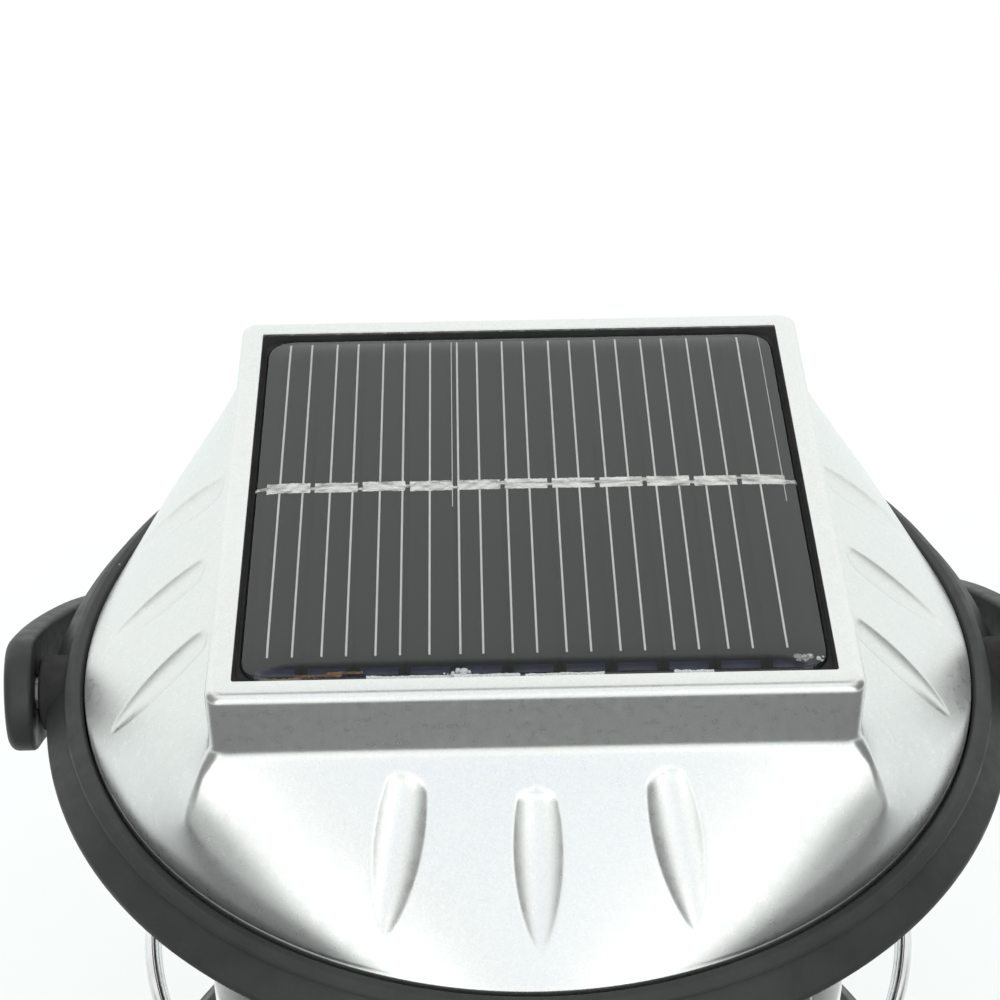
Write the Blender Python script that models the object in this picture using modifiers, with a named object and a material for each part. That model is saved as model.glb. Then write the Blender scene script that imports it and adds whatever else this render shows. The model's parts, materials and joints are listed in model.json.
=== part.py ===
"""Solar camping lantern: square solar panel on a silver cap, clear globe in a wire guard, carrying handle.

Frame: origin at the centre of the base on the surface it stands on, +Z up, front (power button) at -Y.
Lengths below are in millimetres. The helpers turn them into Blender's metres.
"""

import math

import bmesh
import bpy
from mathutils import Matrix, Vector

MM = 0.001
COLLECTION_NAME = "solar_lantern"

# Driving dimensions
PANEL_TOP_Z = 196.0          # flat border round the panel, the highest point of the head
PANEL_SIZE = 60.0            # standard square encapsulated panel
RESIN_SIZE = 60.4
CELL_COUNT = 11
CELL_PITCH = 5.25
CELL_WIDTH = 4.8
CELL_LENGTH = 57.6
CELL_CENTRE_Y = 0.1

POCKET_HALF = 30.6           # opening in the cap that the panel lies in
PLINTH_HALF = 33.25          # square raised frame on the cap
PLINTH_BLEND = 2.65          # softness of the plinth's corners
PLINTH_HEIGHT = 7.7
RIM_RADIUS = 51.0            # round lower edge of the cap
RIM_DROP = 24.2              # rim below the top of the plinth
CURVE_GROWTH = 1.2           # how fast the square's straight sides curve into the round rim
CAP_WALL = 2.0
CAP_LIP = 5.2                # length of the cap's spigot inside the ring

RING_BORE = 51.5
RING_BAND = 55.8             # widest radius of the black rings
RING_HEIGHT = 9.8
PLATE_THICKNESS = 2.2
GLOBE_RADIUS = 40.3
GLOBE_WALL = 2.4
GUARD_MID_Z = 122.5          # mirror plane of the two rings
HOOP_Z = 128.0
WIRE_HOOP_RADIUS = 47.3
WIRE_ROD_RADIUS = 49.6
HOOP_WIRE = 2.1
ROD_WIRE = 1.8
ROD_AZIMUTHS = (55, 125, 235, 305)
ROD_LENGTH = 82.8

PIVOT_DROP = 29.3            # handle axis below the top of the plinth
HANDLE_RADIUS = 60.5         # outside of the bail about its pivot axis
HANDLE_EAR_WIDTH = 13.4
HANDLE_GRIP_WIDTH = 10.0
HANDLE_EAR_THICKNESS = 3.2
HANDLE_GRIP_THICKNESS = 2.4
HANDLE_DROOP = 28.0          # degrees below level, lying on the guard's rods
PIVOT_HOLE = 2.25
PIVOT_SEAT = 59.1            # floor of the sinking in each ear for the screw's head
PIVOT_SINK = 4.0
BOSS_RADIUS = 4.4
BOSS_FACE = 56.8

BODY_BULGE = 53.4            # largest radius of the silver body
BODY_WALL = 2.0
BODY_BOTTOM_Z = 16.3
BODY_BULGE_Z = 44.5
BASE_FLOOR_Z = 3.5
BASE_FLOOR = 3.0
BASE_TOP_Z = 16.0
FOOT_HEIGHT = 3.2
FOOT_RADIUS = 4.0
FOOT_CIRCLE = 43.0
SCREW_CIRCLE = 45.5
SCREW_AZIMUTHS = (90, 210, 330)
SCREW_HOLE = 1.7

BUTTON_Z = 44.0
BUTTON_RADIUS = 6.9
BUTTON_FRONT = 55.8
BUTTON_BACK = 50.5
BEZEL_FRONT = 54.9
BEZEL_SEAT = 53.7            # back of the bezel's flange, just off the body
BEZEL_BACK = 49.5
BEZEL_HOLE = 7.3
BEZEL_SLEEVE = 9.6
BEZEL_FLANGE = 11.4
INDICATOR_Z = 59.0
INDICATOR_RADIUS = 2.0

CELL_RADIUS = 7.2            # AA size rechargeable cell
CELL_BODY_LENGTH = 50.5
BATTERY_PITCH = 15.0
BATTERY_Z = 15.3
HOLDER_SIZE = (67.0, 55.0, 17.7)
BAY_SIZE = (52.0, 45.2)
DOOR_SIZE = (62.0, 49.4, 2.0)
DOOR_GAP = 0.3
DOOR_SCREW_X = 28.6

GAP = 0.3                    # clearance between pieces that touch
LARGE_STEPS = 40
SMALL_STEPS = 16

RIM_Z = PANEL_TOP_Z - RIM_DROP
PIVOT_Z = PANEL_TOP_Z - PIVOT_DROP
RING_FOOT_Z = RIM_Z - RING_HEIGHT
GLOBE_HALF_LENGTH = RING_FOOT_Z - GUARD_MID_Z + PLATE_THICKNESS - 0.1


def clear_scene():
    """Remove whatever the file starts with."""
    for obj in list(bpy.data.objects):
        bpy.data.objects.remove(obj, do_unlink=True)


def make_collection(name):
    """Add a collection under the scene."""
    collection = bpy.data.collections.new(name)
    bpy.context.scene.collection.children.link(collection)
    return collection


def make_material(name, color, roughness, metallic=0.0, alpha=1.0):
    """A Principled material in one colour."""
    material = bpy.data.materials.new(name)
    material.use_nodes = True
    shader = material.node_tree.nodes["Principled BSDF"]
    shader.inputs["Base Color"].default_value = (*color, 1.0)
    shader.inputs["Roughness"].default_value = roughness
    shader.inputs["Metallic"].default_value = metallic
    shader.inputs["Alpha"].default_value = alpha
    material.diffuse_color = (*color, alpha)
    return material


def make_materials():
    """Every finish on the lantern."""
    return {
        "silver_paint": make_material("silver_paint", (0.62, 0.64, 0.63), 0.35, 0.85),
        "black_plastic": make_material("black_plastic", (0.045, 0.047, 0.047), 0.55),
        "black_rubber": make_material("black_rubber", (0.03, 0.03, 0.03), 0.8),
        "chrome": make_material("chrome", (0.8, 0.8, 0.8), 0.1, 1.0),
        "steel": make_material("steel", (0.55, 0.55, 0.56), 0.3, 1.0),
        "clear_plastic": make_material("clear_plastic", (0.95, 0.97, 0.97), 0.05, 0.0, 0.3),
        "epoxy": make_material("epoxy", (0.9, 0.92, 0.93), 0.05, 0.0, 0.3),
        "silicon": make_material("silicon", (0.05, 0.055, 0.06), 0.3),
        "circuit_board": make_material("circuit_board", (0.02, 0.025, 0.02), 0.5),
        "mirror_plastic": make_material("mirror_plastic", (0.85, 0.85, 0.85), 0.12, 1.0),
        "led_lens": make_material("led_lens", (0.93, 0.95, 0.95), 0.1, 0.0, 0.5),
        "battery_sleeve": make_material("battery_sleeve", (0.1, 0.35, 0.15), 0.35),
        "indicator_red": make_material("indicator_red", (0.6, 0.04, 0.03), 0.2),
    }


class Builder:
    """Holds the collections and materials, and adds objects to them."""

    def __init__(self):
        self.parts = make_collection(COLLECTION_NAME)
        self.cutters = make_collection("cutters")
        self.materials = make_materials()

    def add(self, name, mesh, material=None, location=(0, 0, 0), rotation=(0, 0, 0)):
        """Link a mesh as an object. With no material it is a cutter."""
        obj = bpy.data.objects.new(name, mesh)
        obj.location = Vector(location) * MM
        obj.rotation_euler = rotation
        if material is None:
            self.cutters.objects.link(obj)
            obj.hide_render = True
            obj.display_type = "WIRE"
            return obj
        self.parts.objects.link(obj)
        mesh.materials.append(self.materials[material])
        return obj


def finish_mesh(name, bm, smooth=False):
    """Turn a bmesh in millimetres into a mesh in metres."""
    bmesh.ops.scale(bm, vec=(MM, MM, MM), verts=bm.verts)
    mesh = bpy.data.meshes.new(name)
    bm.to_mesh(mesh)
    bm.free()
    if smooth:
        mesh.shade_smooth()
        mesh.set_sharp_from_angle(angle=math.radians(35))
    return mesh


def box_mesh(name, size, centre=(0, 0, 0)):
    """A box about a centre."""
    bm = bmesh.new()
    matrix = Matrix.Translation(centre) @ Matrix.Diagonal((*size, 1.0))
    bmesh.ops.create_cube(bm, size=1.0, matrix=matrix)
    return finish_mesh(name, bm)


def cylinder_mesh(name, radius, length, segments=SMALL_STEPS, axis="Z", centre=(0, 0, 0)):
    """A closed cylinder along one axis, centred on a point."""
    turns = {"X": Matrix.Rotation(math.pi / 2, 4, "Y"), "Y": Matrix.Rotation(math.pi / 2, 4, "X")}
    matrix = Matrix.Translation(centre) @ turns.get(axis, Matrix.Identity(4))
    bm = bmesh.new()
    bmesh.ops.create_cone(bm, cap_ends=True, segments=segments, radius1=radius, radius2=radius,
                          depth=length, matrix=matrix)
    return finish_mesh(name, bm, smooth=True)


def profile_mesh(name, points, closed):
    """Edges through (radius, height) points, for a Screw modifier."""
    bm = bmesh.new()
    verts = [bm.verts.new((radius, 0.0, height)) for radius, height in points]
    for first, second in zip(verts, verts[1:]):
        bm.edges.new((first, second))
    if closed:
        bm.edges.new((verts[-1], verts[0]))
    return finish_mesh(name, bm)


def add_turned(builder, name, points, material, steps=LARGE_STEPS, closed=True,
               location=(0, 0, 0), rotation=(0, 0, 0)):
    """A turned piece. Its profile runs down the outer side; an open one starts and ends on the axis."""
    obj = builder.add(name, profile_mesh(name, points, closed), material, location, rotation)
    screw = obj.modifiers.new("turn", "SCREW")
    screw.axis = "Z"
    screw.steps = steps
    screw.render_steps = steps
    screw.use_merge_vertices = True
    screw.merge_threshold = 0.00001
    screw.use_smooth_shade = True
    return obj


def add_bevel(obj, width, segments=2, angle=40.0):
    """Round the sharp edges of a piece."""
    bevel = obj.modifiers.new("rounded_edges", "BEVEL")
    bevel.width = width * MM
    bevel.segments = segments
    bevel.limit_method = "ANGLE"
    bevel.angle_limit = math.radians(angle)


def add_boolean(obj, cutter, operation="DIFFERENCE"):
    """Cut a piece with another shape, or join the shape to it."""
    boolean = obj.modifiers.new(cutter.name, "BOOLEAN")
    boolean.operation = operation
    boolean.solver = "EXACT"
    boolean.object = cutter


def on_circle(radius, azimuth, z=0.0):
    """Point on a circle about the vertical axis; azimuth in degrees from +X."""
    angle = math.radians(azimuth)
    return (radius * math.cos(angle), radius * math.sin(angle), z)


# Cap: a square plinth lofted into a round rim

def loft_angles(steps_per_octant=7):
    """Angles round the loft, closer together towards the plinth's four corners."""
    octant = [math.pi / 4 * (1 - (1 - step / steps_per_octant) ** 2) for step in range(steps_per_octant)]
    quarter = octant + [math.pi / 4] + [math.pi / 2 - angle for angle in reversed(octant[1:])]
    return [angle + side * math.pi / 2 for side in range(4) for angle in quarter]


def side_radius(angle, half, curvature):
    """Distance from the centre to one side: a line, or an arc, at this angle from its middle."""
    flat = (1 - curvature * half) * math.cos(angle)
    reach = 2 * half - curvature * half ** 2
    return reach / (flat + math.sqrt(flat ** 2 + curvature * reach))


def outline_radius(angle, half, curvature, blend):
    """Distance to a four-sided outline whose neighbouring sides blend over a short length."""
    folded = angle % (math.pi / 2)
    folded = min(folded, math.pi / 2 - folded)
    near = side_radius(folded, half, curvature)
    if blend <= 0 or folded < math.pi / 8:
        return near
    far = side_radius(math.pi / 2 - folded, half, curvature)
    overlap = max(blend - abs(near - far), 0.0) / blend
    return min(near, far) - overlap ** 2 * blend / 4


def skirt_drop(half):
    """How far below the plinth's top the skirt lies, at this distance from the middle of a side."""
    slope = (RIM_DROP - PLINTH_HEIGHT) / (RIM_RADIUS - PLINTH_HALF)
    return PLINTH_HEIGHT + (half - PLINTH_HALF) * slope


def skirt_shape(half):
    """Curvature of the skirt's sides and softness of its ridges, from the square to the round rim."""
    along = min((half - PLINTH_HALF) / (RIM_RADIUS - PLINTH_HALF), 1.0)
    curvature = along ** CURVE_GROWTH / RIM_RADIUS
    return curvature, (PLINTH_BLEND + 3.0 * along) * (1 - along)


def cap_sections():
    """(half width, curvature, softness, height) from the pocket's edge, down outside and back up inside."""
    top = PANEL_TOP_Z
    edge = 0.8
    corner = PLINTH_BLEND
    sections = [
        (POCKET_HALF, 0.0, 0.5, top),
        (PLINTH_HALF - edge, 0.0, corner, top),
        (PLINTH_HALF - 0.3 * edge, 0.0, corner, top - 0.3 * edge),
        (PLINTH_HALF, 0.0, corner, top - edge),
        (PLINTH_HALF, 0.0, corner, top - PLINTH_HEIGHT + 0.8),
        (PLINTH_HALF + 0.2, 0.0, corner, top - PLINTH_HEIGHT + 0.1),
    ]
    outside = (34.2, 36.5, 39.5, 42.5, 45.5, 48.5)
    for half in outside:
        sections.append((half, *skirt_shape(half), top - skirt_drop(half)))
    lip_z = RIM_Z - CAP_LIP
    lip_inside = RIM_RADIUS - CAP_WALL
    sections.append((RIM_RADIUS, 1 / RIM_RADIUS, 0.0, RIM_Z))
    sections.append((RIM_RADIUS, 1 / RIM_RADIUS, 0.0, lip_z))
    sections.append((lip_inside, 1 / lip_inside, 0.0, lip_z))
    drop = CAP_WALL / math.cos(math.atan2(RIM_DROP - PLINTH_HEIGHT, RIM_RADIUS - PLINTH_HALF))
    sections.append((lip_inside, 1 / lip_inside, 0.0, top - skirt_drop(lip_inside) - drop))
    for half in (44.0, 39.0, 34.4):
        curvature, blend = skirt_shape(half)
        sections.append((half, curvature, blend + 3.0, top - skirt_drop(half) - drop))
    pocket_floor = top - 4.9
    lead_hole = 12.0
    inner_wall = POCKET_HALF + 0.2
    sections += [
        (inner_wall, 0.0, corner, top - PLINTH_HEIGHT - drop),
        (inner_wall, 0.0, corner, pocket_floor - 1.8),
        (lead_hole, 1 / lead_hole, 0.0, pocket_floor - 1.8),
        (lead_hole, 1 / lead_hole, 0.0, pocket_floor),
        (POCKET_HALF, 0.0, 0.5, pocket_floor),
    ]
    return sections


def loft_mesh(name, sections):
    """Skin four-sided sections into one closed tube-like surface."""
    angles = loft_angles()
    bm = bmesh.new()
    rings = []
    for half, curvature, blend, height in sections:
        ring = []
        for angle in angles:
            radius = outline_radius(angle, half, curvature, blend)
            ring.append(bm.verts.new((radius * math.cos(angle), radius * math.sin(angle), height)))
        rings.append(ring)
    count = len(angles)
    for index, ring in enumerate(rings):
        below = rings[(index + 1) % len(rings)]
        for step in range(count):
            after = (step + 1) % count
            bm.faces.new((ring[step], below[step], below[after], ring[after]))
    bmesh.ops.recalc_face_normals(bm, faces=bm.faces)
    return finish_mesh(name, bm, smooth=True)


def groove_mesh(name, start, end):
    """Long rounded scoops, one at each end position on all four sides, as one cutter."""
    width = 5.2
    depth = 0.8
    height = 2.0
    spread = 1.0 / math.sqrt(1 - ((height - depth) / height) ** 2)
    a = Vector((start[0], start[1], PANEL_TOP_Z - skirt_drop(start[1])))
    b = Vector((end[0], end[1], PANEL_TOP_Z - skirt_drop(end[1])))
    along = (b - a).normalized()
    slope = math.atan2(RIM_DROP - PLINTH_HEIGHT, RIM_RADIUS - PLINTH_HALF)
    normal = Vector((0, math.sin(slope), math.cos(slope)))
    across = normal.cross(along).normalized()
    centre = (a + b) / 2 + normal * (height - depth)
    turn = Matrix((along, across, normal)).transposed().to_4x4()
    size = Matrix.Diagonal(((b - a).length / 2 * spread, width / 2 * spread, height, 1.0))
    bm = bmesh.new()
    for side in range(4):
        matrix = Matrix.Rotation(side * math.pi / 2, 4, "Z") @ Matrix.Translation(centre) @ turn @ size
        bmesh.ops.create_uvsphere(bm, u_segments=12, v_segments=8, radius=1.0, matrix=matrix)
    return finish_mesh(name, bm)


def build_cap(builder):
    """Silver cap with the panel's pocket and twelve scooped grooves."""
    cap = builder.add("top_cap", loft_mesh("top_cap", cap_sections()), "silver_paint")
    grooves = {
        "groove_middle": ((0.0, 36.5), (0.0, 47.8)),
        "groove_left": ((-13.3, 34.9), (-15.8, 45.7)),
        "groove_right": ((13.3, 34.9), (15.8, 45.7)),
    }
    for name, (start, end) in grooves.items():
        add_boolean(cap, builder.add(name, groove_mesh(name, start, end)))


def build_cap_seal(builder):
    """Square-section gasket under the cap's spigot."""
    low = RIM_Z - CAP_LIP - GAP - 0.6
    high = low + 0.6
    add_turned(builder, "cap_seal", [(51.1, high), (51.1, low), (50.1, low), (50.1, high)], "black_rubber")


# Solar panel

def build_panel(builder):
    """Board, eleven silicon strips and the clear resin over them."""
    floor = PANEL_TOP_Z - 4.9
    board_top = floor + GAP + 1.2
    board_size = (PANEL_SIZE, PANEL_SIZE, 1.2)
    board = box_mesh("panel_board", board_size, (0, 0, board_top - 0.6))
    builder.add("panel_board", board, "circuit_board")
    cell_z = board_top + GAP + 0.1
    for index in range(CELL_COUNT):
        name = f"solar_cell_{index + 1:02d}"
        x = (index - (CELL_COUNT - 1) / 2) * CELL_PITCH
        mesh = box_mesh(name, (CELL_WIDTH, CELL_LENGTH, 0.2))
        builder.add(name, mesh, "silicon", (x, CELL_CENTRE_Y, cell_z))
    resin_low = cell_z + 0.1 + GAP
    resin_high = PANEL_TOP_Z - 0.1
    thickness = resin_high - resin_low
    resin = box_mesh("epoxy_cover", (RESIN_SIZE, RESIN_SIZE, thickness))
    cover = builder.add("epoxy_cover", resin, "epoxy", (0, 0, resin_low + thickness / 2))
    add_bevel(cover, 0.9, segments=3)


# Black rings, globe and wire guard

def ring_profile():
    """Upper ring's section: bead, groove, sloped band, bottom plate, collar and inner flange."""
    foot = RING_FOOT_Z
    plate = foot + PLATE_THICKNESS
    collar = GLOBE_RADIUS + 0.7
    flange_low = foot + 3.2
    flange_high = flange_low + 2.0
    shelf = RIM_Z - CAP_LIP - GAP - 0.6 - GAP
    return [
        (RING_BORE, RIM_Z - 0.5),
        (RING_BORE + 0.5, RIM_Z),
        (RING_BORE + 1.1, RIM_Z),
        (53.3, RIM_Z - 0.45),
        (53.45, RIM_Z - 0.95),
        (53.1, RIM_Z - 1.25),
        (53.6, RIM_Z - 1.4),
        (RING_BAND, RIM_Z - 4.0),
        (RING_BAND, RIM_Z - 4.8),
        (55.2, RIM_Z - 5.4),
        (52.0, foot),
        (collar, foot),
        (collar, flange_low),
        (34.0, flange_low),
        (34.0, flange_high),
        (collar + 2.0, flange_high),
        (collar + 2.0, plate),
        (50.0, plate),
        (50.0, shelf),
        (RING_BORE, shelf),
    ]


def mirrored_profile(points):
    """The same section turned upside down about the guard's middle, still running top to bottom."""
    return [(radius, 2 * GUARD_MID_Z - height) for radius, height in reversed(points)]


def rod_hole_mesh(name, height):
    """Holes through a ring's plate for the guard's rods, as one cutter."""
    bm = bmesh.new()
    for azimuth in ROD_AZIMUTHS:
        position = on_circle(WIRE_ROD_RADIUS, azimuth, height)
        bmesh.ops.create_cone(bm, cap_ends=True, segments=8, radius1=ROD_WIRE / 2 + GAP,
                              radius2=ROD_WIRE / 2 + GAP, depth=5.0, matrix=Matrix.Translation(position))
    return finish_mesh(name, bm)


def build_rings(builder):
    """Upper ring with the handle's pivot bosses, and its mirror image below the globe."""
    upper = add_turned(builder, "upper_ring", ring_profile(), "black_plastic")
    lower = add_turned(builder, "lower_ring", mirrored_profile(ring_profile()), "black_plastic")
    boss_back = 51.9
    boss_length = BOSS_FACE - boss_back
    for side, sign in (("left", -1), ("right", 1)):
        centre = (sign * (boss_back + boss_length / 2), 0, PIVOT_Z)
        boss = builder.add(f"boss_{side}", cylinder_mesh("boss", BOSS_RADIUS, boss_length, 20, "X", centre))
        add_boolean(upper, boss, "UNION")
        hole = cylinder_mesh("boss_hole", PIVOT_HOLE, 8.0, 12, "X", (sign * BOSS_FACE, 0, PIVOT_Z))
        add_boolean(upper, builder.add(f"boss_hole_{side}", hole))
    plate_z = RING_FOOT_Z + PLATE_THICKNESS / 2
    add_boolean(upper, builder.add("upper_rod_holes", rod_hole_mesh("upper_rod_holes", plate_z)))
    low_z = 2 * GUARD_MID_Z - plate_z
    add_boolean(lower, builder.add("lower_rod_holes", rod_hole_mesh("lower_rod_holes", low_z)))


def build_globe(builder):
    """Clear tube with a seal at each end."""
    high = GUARD_MID_Z + GLOBE_HALF_LENGTH
    low = GUARD_MID_Z - GLOBE_HALF_LENGTH
    inside = GLOBE_RADIUS - GLOBE_WALL
    edge = 0.4
    profile = [
        (inside, high),
        (GLOBE_RADIUS - edge, high),
        (GLOBE_RADIUS, high - edge),
        (GLOBE_RADIUS, low + edge),
        (GLOBE_RADIUS - edge, low),
        (inside, low),
    ]
    add_turned(builder, "globe", profile, "clear_plastic")
    seal = 0.5
    for name, bottom in (("globe_seal_upper", high + GAP), ("globe_seal_lower", low - GAP - seal)):
        top = bottom + seal
        points = [(GLOBE_RADIUS, top), (GLOBE_RADIUS, bottom), (inside, bottom), (inside, top)]
        add_turned(builder, name, points, "black_rubber")


def build_guard(builder):
    """Chromed wire hoop held by upright rods, two in front and two at the back."""
    curve = bpy.data.curves.new("guard_hoop", "CURVE")
    curve.dimensions = "3D"
    curve.render_resolution_u = 0
    curve.bevel_depth = HOOP_WIRE / 2 * MM
    curve.bevel_resolution = 2
    points = 48
    spline = curve.splines.new("POLY")
    spline.points.add(points - 1)
    spline.use_cyclic_u = True
    for index in range(points):
        x, y, z = on_circle(WIRE_HOOP_RADIUS * MM, index * 360 / points)
        spline.points[index].co = (x, y, z, 1.0)
    hoop = bpy.data.objects.new("guard_hoop", curve)
    hoop.location = (0, 0, HOOP_Z * MM)
    curve.materials.append(builder.materials["chrome"])
    builder.parts.objects.link(hoop)
    for index, azimuth in enumerate(ROD_AZIMUTHS):
        name = f"guard_rod_{index + 1}"
        position = on_circle(WIRE_ROD_RADIUS, azimuth, GUARD_MID_Z)
        builder.add(name, cylinder_mesh(name, ROD_WIRE / 2, ROD_LENGTH, 10), "chrome", position)


# Handle

def handle_sections():
    """(angle, half width, thickness) along the bail, with round ends beyond the two pivots."""
    half_ear = HANDLE_EAR_WIDTH / 2
    end_angle = half_ear / HANDLE_RADIUS
    sections = []
    for step in range(6):
        reach = math.cos(step * math.pi / 10)
        sections.append((-end_angle * reach, max(half_ear * math.sqrt(1 - reach ** 2), 1.2), 0.0))
    for degrees in (8, 16, 26, 40, 55, 70, 90):
        blend = min(max((degrees - 16) / 30, 0.0), 1.0)
        sections.append((math.radians(degrees), half_ear, blend))
    sections += [(math.pi - angle, width, blend) for angle, width, blend in reversed(sections[:-1])]
    narrow = (HANDLE_EAR_WIDTH - HANDLE_GRIP_WIDTH) / 2
    thin = HANDLE_EAR_THICKNESS - HANDLE_GRIP_THICKNESS
    return [(angle, width - narrow * blend, HANDLE_EAR_THICKNESS - thin * blend)
            for angle, width, blend in sections]


def handle_mesh(name):
    """Flat bar bent round the head, skinned through its sections."""
    bm = bmesh.new()
    rings = []
    for angle, half_width, thickness in handle_sections():
        inner = HANDLE_RADIUS - thickness
        corners = ((inner, -half_width), (inner, half_width),
                   (HANDLE_RADIUS, half_width), (HANDLE_RADIUS, -half_width))
        rings.append([bm.verts.new((radius * math.cos(angle), radius * math.sin(angle), height))
                      for radius, height in corners])
    bm.faces.new(rings[0])
    bm.faces.new(rings[-1])
    for first, second in zip(rings, rings[1:]):
        for corner in range(4):
            after = (corner + 1) % 4
            bm.faces.new((first[corner], first[after], second[after], second[corner]))
    bmesh.ops.recalc_face_normals(bm, faces=bm.faces)
    return finish_mesh(name, bm, smooth=True)


def build_handle(builder):
    """Bail folded to the back, and the screw that each ear turns on, its head sunk in the ear."""
    droop = (-math.radians(HANDLE_DROOP), 0, 0)
    handle = builder.add("handle", handle_mesh("handle"), "black_plastic", (0, 0, PIVOT_Z), droop)
    hole = cylinder_mesh("handle_holes", PIVOT_HOLE, 2 * HANDLE_RADIUS + 4.0, 16, "X")
    add_boolean(handle, builder.add("handle_holes", hole, None, (0, 0, PIVOT_Z)))
    sink_length = 4.0
    for side, sign in (("left", -1), ("right", 1)):
        centre = (sign * (PIVOT_SEAT + sink_length / 2), 0, PIVOT_Z)
        sink = cylinder_mesh("handle_sink", PIVOT_SINK, sink_length, 20, "X", centre)
        add_boolean(handle, builder.add(f"handle_sink_{side}", sink))
    seat = PIVOT_SEAT + GAP
    head = HANDLE_RADIUS - 0.1
    shank = PIVOT_HOLE - GAP
    tip = BOSS_FACE - 3.7
    profile = [(0, head), (3.0, head - 0.1), (3.6, seat + 0.5), (3.6, seat), (shank, seat), (shank, tip),
               (0, tip)]
    for side, turn in (("left", -math.pi / 2), ("right", math.pi / 2)):
        add_turned(builder, f"pivot_screw_{side}", profile, "steel", SMALL_STEPS, False,
                   (0, 0, PIVOT_Z), (0, turn, 0))


# Light unit inside the globe

def build_light(builder):
    """Ring of lamps above a flared mirror cone, with the wiring column through the middle."""
    flange_low = RING_FOOT_Z + 3.2
    disc_top = flange_low - GAP
    disc_bottom = disc_top - 1.2
    disc = [(0, disc_top), (37.4, disc_top), (37.4, disc_bottom), (0, disc_bottom)]
    add_turned(builder, "reflector_disc", disc, "mirror_plastic", 32, False)
    board_top = disc_bottom - GAP
    board_bottom = board_top - 1.2
    board = [(0, board_top), (22.0, board_top), (22.0, board_bottom), (0, board_bottom)]
    add_turned(builder, "led_board", board, "circuit_board", 24, False)
    lamp = [(0, 0), (2.9, 0), (2.9, -1.0), (2.5, -1.0), (2.5, -5.4), (1.8, -7.1), (0, -7.8)]
    for index in range(6):
        position = on_circle(14.0, 30 + index * 60, board_bottom - GAP)
        add_turned(builder, f"led_{index + 1}", lamp, "led_lens", 12, False, position)

    base_z = 2 * GUARD_MID_Z - flange_low + GAP
    outside = []
    for step in range(8):
        along = step / 7
        outside.append((6.0 + 31.4 * along ** 1.2, base_z + 1.4 + 40.0 * (1 - along ** 1.2) ** 2.2))
    inside = [(radius - 0.4, height - 1.4) for radius, height in reversed(outside[:-1])]
    cone = outside + [(outside[-1][0], base_z)] + inside
    add_turned(builder, "reflector_cone", cone, "mirror_plastic", 32)
    top = board_bottom - GAP
    column = [(4.0, top), (4.0, base_z), (3.0, base_z), (3.0, top)]
    add_turned(builder, "wiring_column", column, "mirror_plastic", 20)


# Silver body

def body_radius(height):
    """Outer radius of the barrel-shaped body."""
    return BODY_BULGE - 2.3 * ((height - BODY_BULGE_Z) / 28.0) ** 2


def body_profile():
    """Spigot into the lower ring, the barrel's outer wall, and the inner wall back up."""
    shoulder = 2 * GUARD_MID_Z - RIM_Z
    spigot = shoulder + CAP_LIP
    heights = [shoulder - 0.6 - step * (shoulder - 0.6 - BODY_BOTTOM_Z) / 8 for step in range(9)]
    outside = [(body_radius(height), height) for height in heights]
    inside = [(radius - BODY_WALL, height) for radius, height in reversed(outside)]
    inside[-1] = (RIM_RADIUS - CAP_WALL, heights[0])
    lip = RIM_RADIUS - CAP_WALL
    return [(lip, spigot), (RIM_RADIUS, spigot), (RIM_RADIUS, shoulder)] + outside + inside


def build_body(builder):
    """Barrel body with openings for the button and indicator, and bosses for the base screws."""
    body = add_turned(builder, "body_shell", body_profile(), "silver_paint")
    hole = cylinder_mesh("button_hole", BEZEL_SLEEVE + GAP, 12.0, 24, "Y", (0, -52.0, BUTTON_Z))
    add_boolean(body, builder.add("button_hole", hole))
    small = cylinder_mesh("indicator_hole", INDICATOR_RADIUS + GAP, 12.0, 12, "Y", (0, -52.0, INDICATOR_Z))
    add_boolean(body, builder.add("indicator_hole", small))
    boss_height = 10.0
    for azimuth in SCREW_AZIMUTHS:
        centre = on_circle(SCREW_CIRCLE, azimuth, BODY_BOTTOM_Z + boss_height / 2)
        boss = cylinder_mesh("body_boss", 4.4, boss_height, 14, "Z", centre)
        add_boolean(body, builder.add(f"body_boss_{azimuth}", boss), "UNION")
        bore = cylinder_mesh("boss_bore", SCREW_HOLE, 16.0, 10, "Z",
                             on_circle(SCREW_CIRCLE, azimuth, BODY_BOTTOM_Z))
        add_boolean(body, builder.add(f"boss_bore_{azimuth}", bore))


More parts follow.
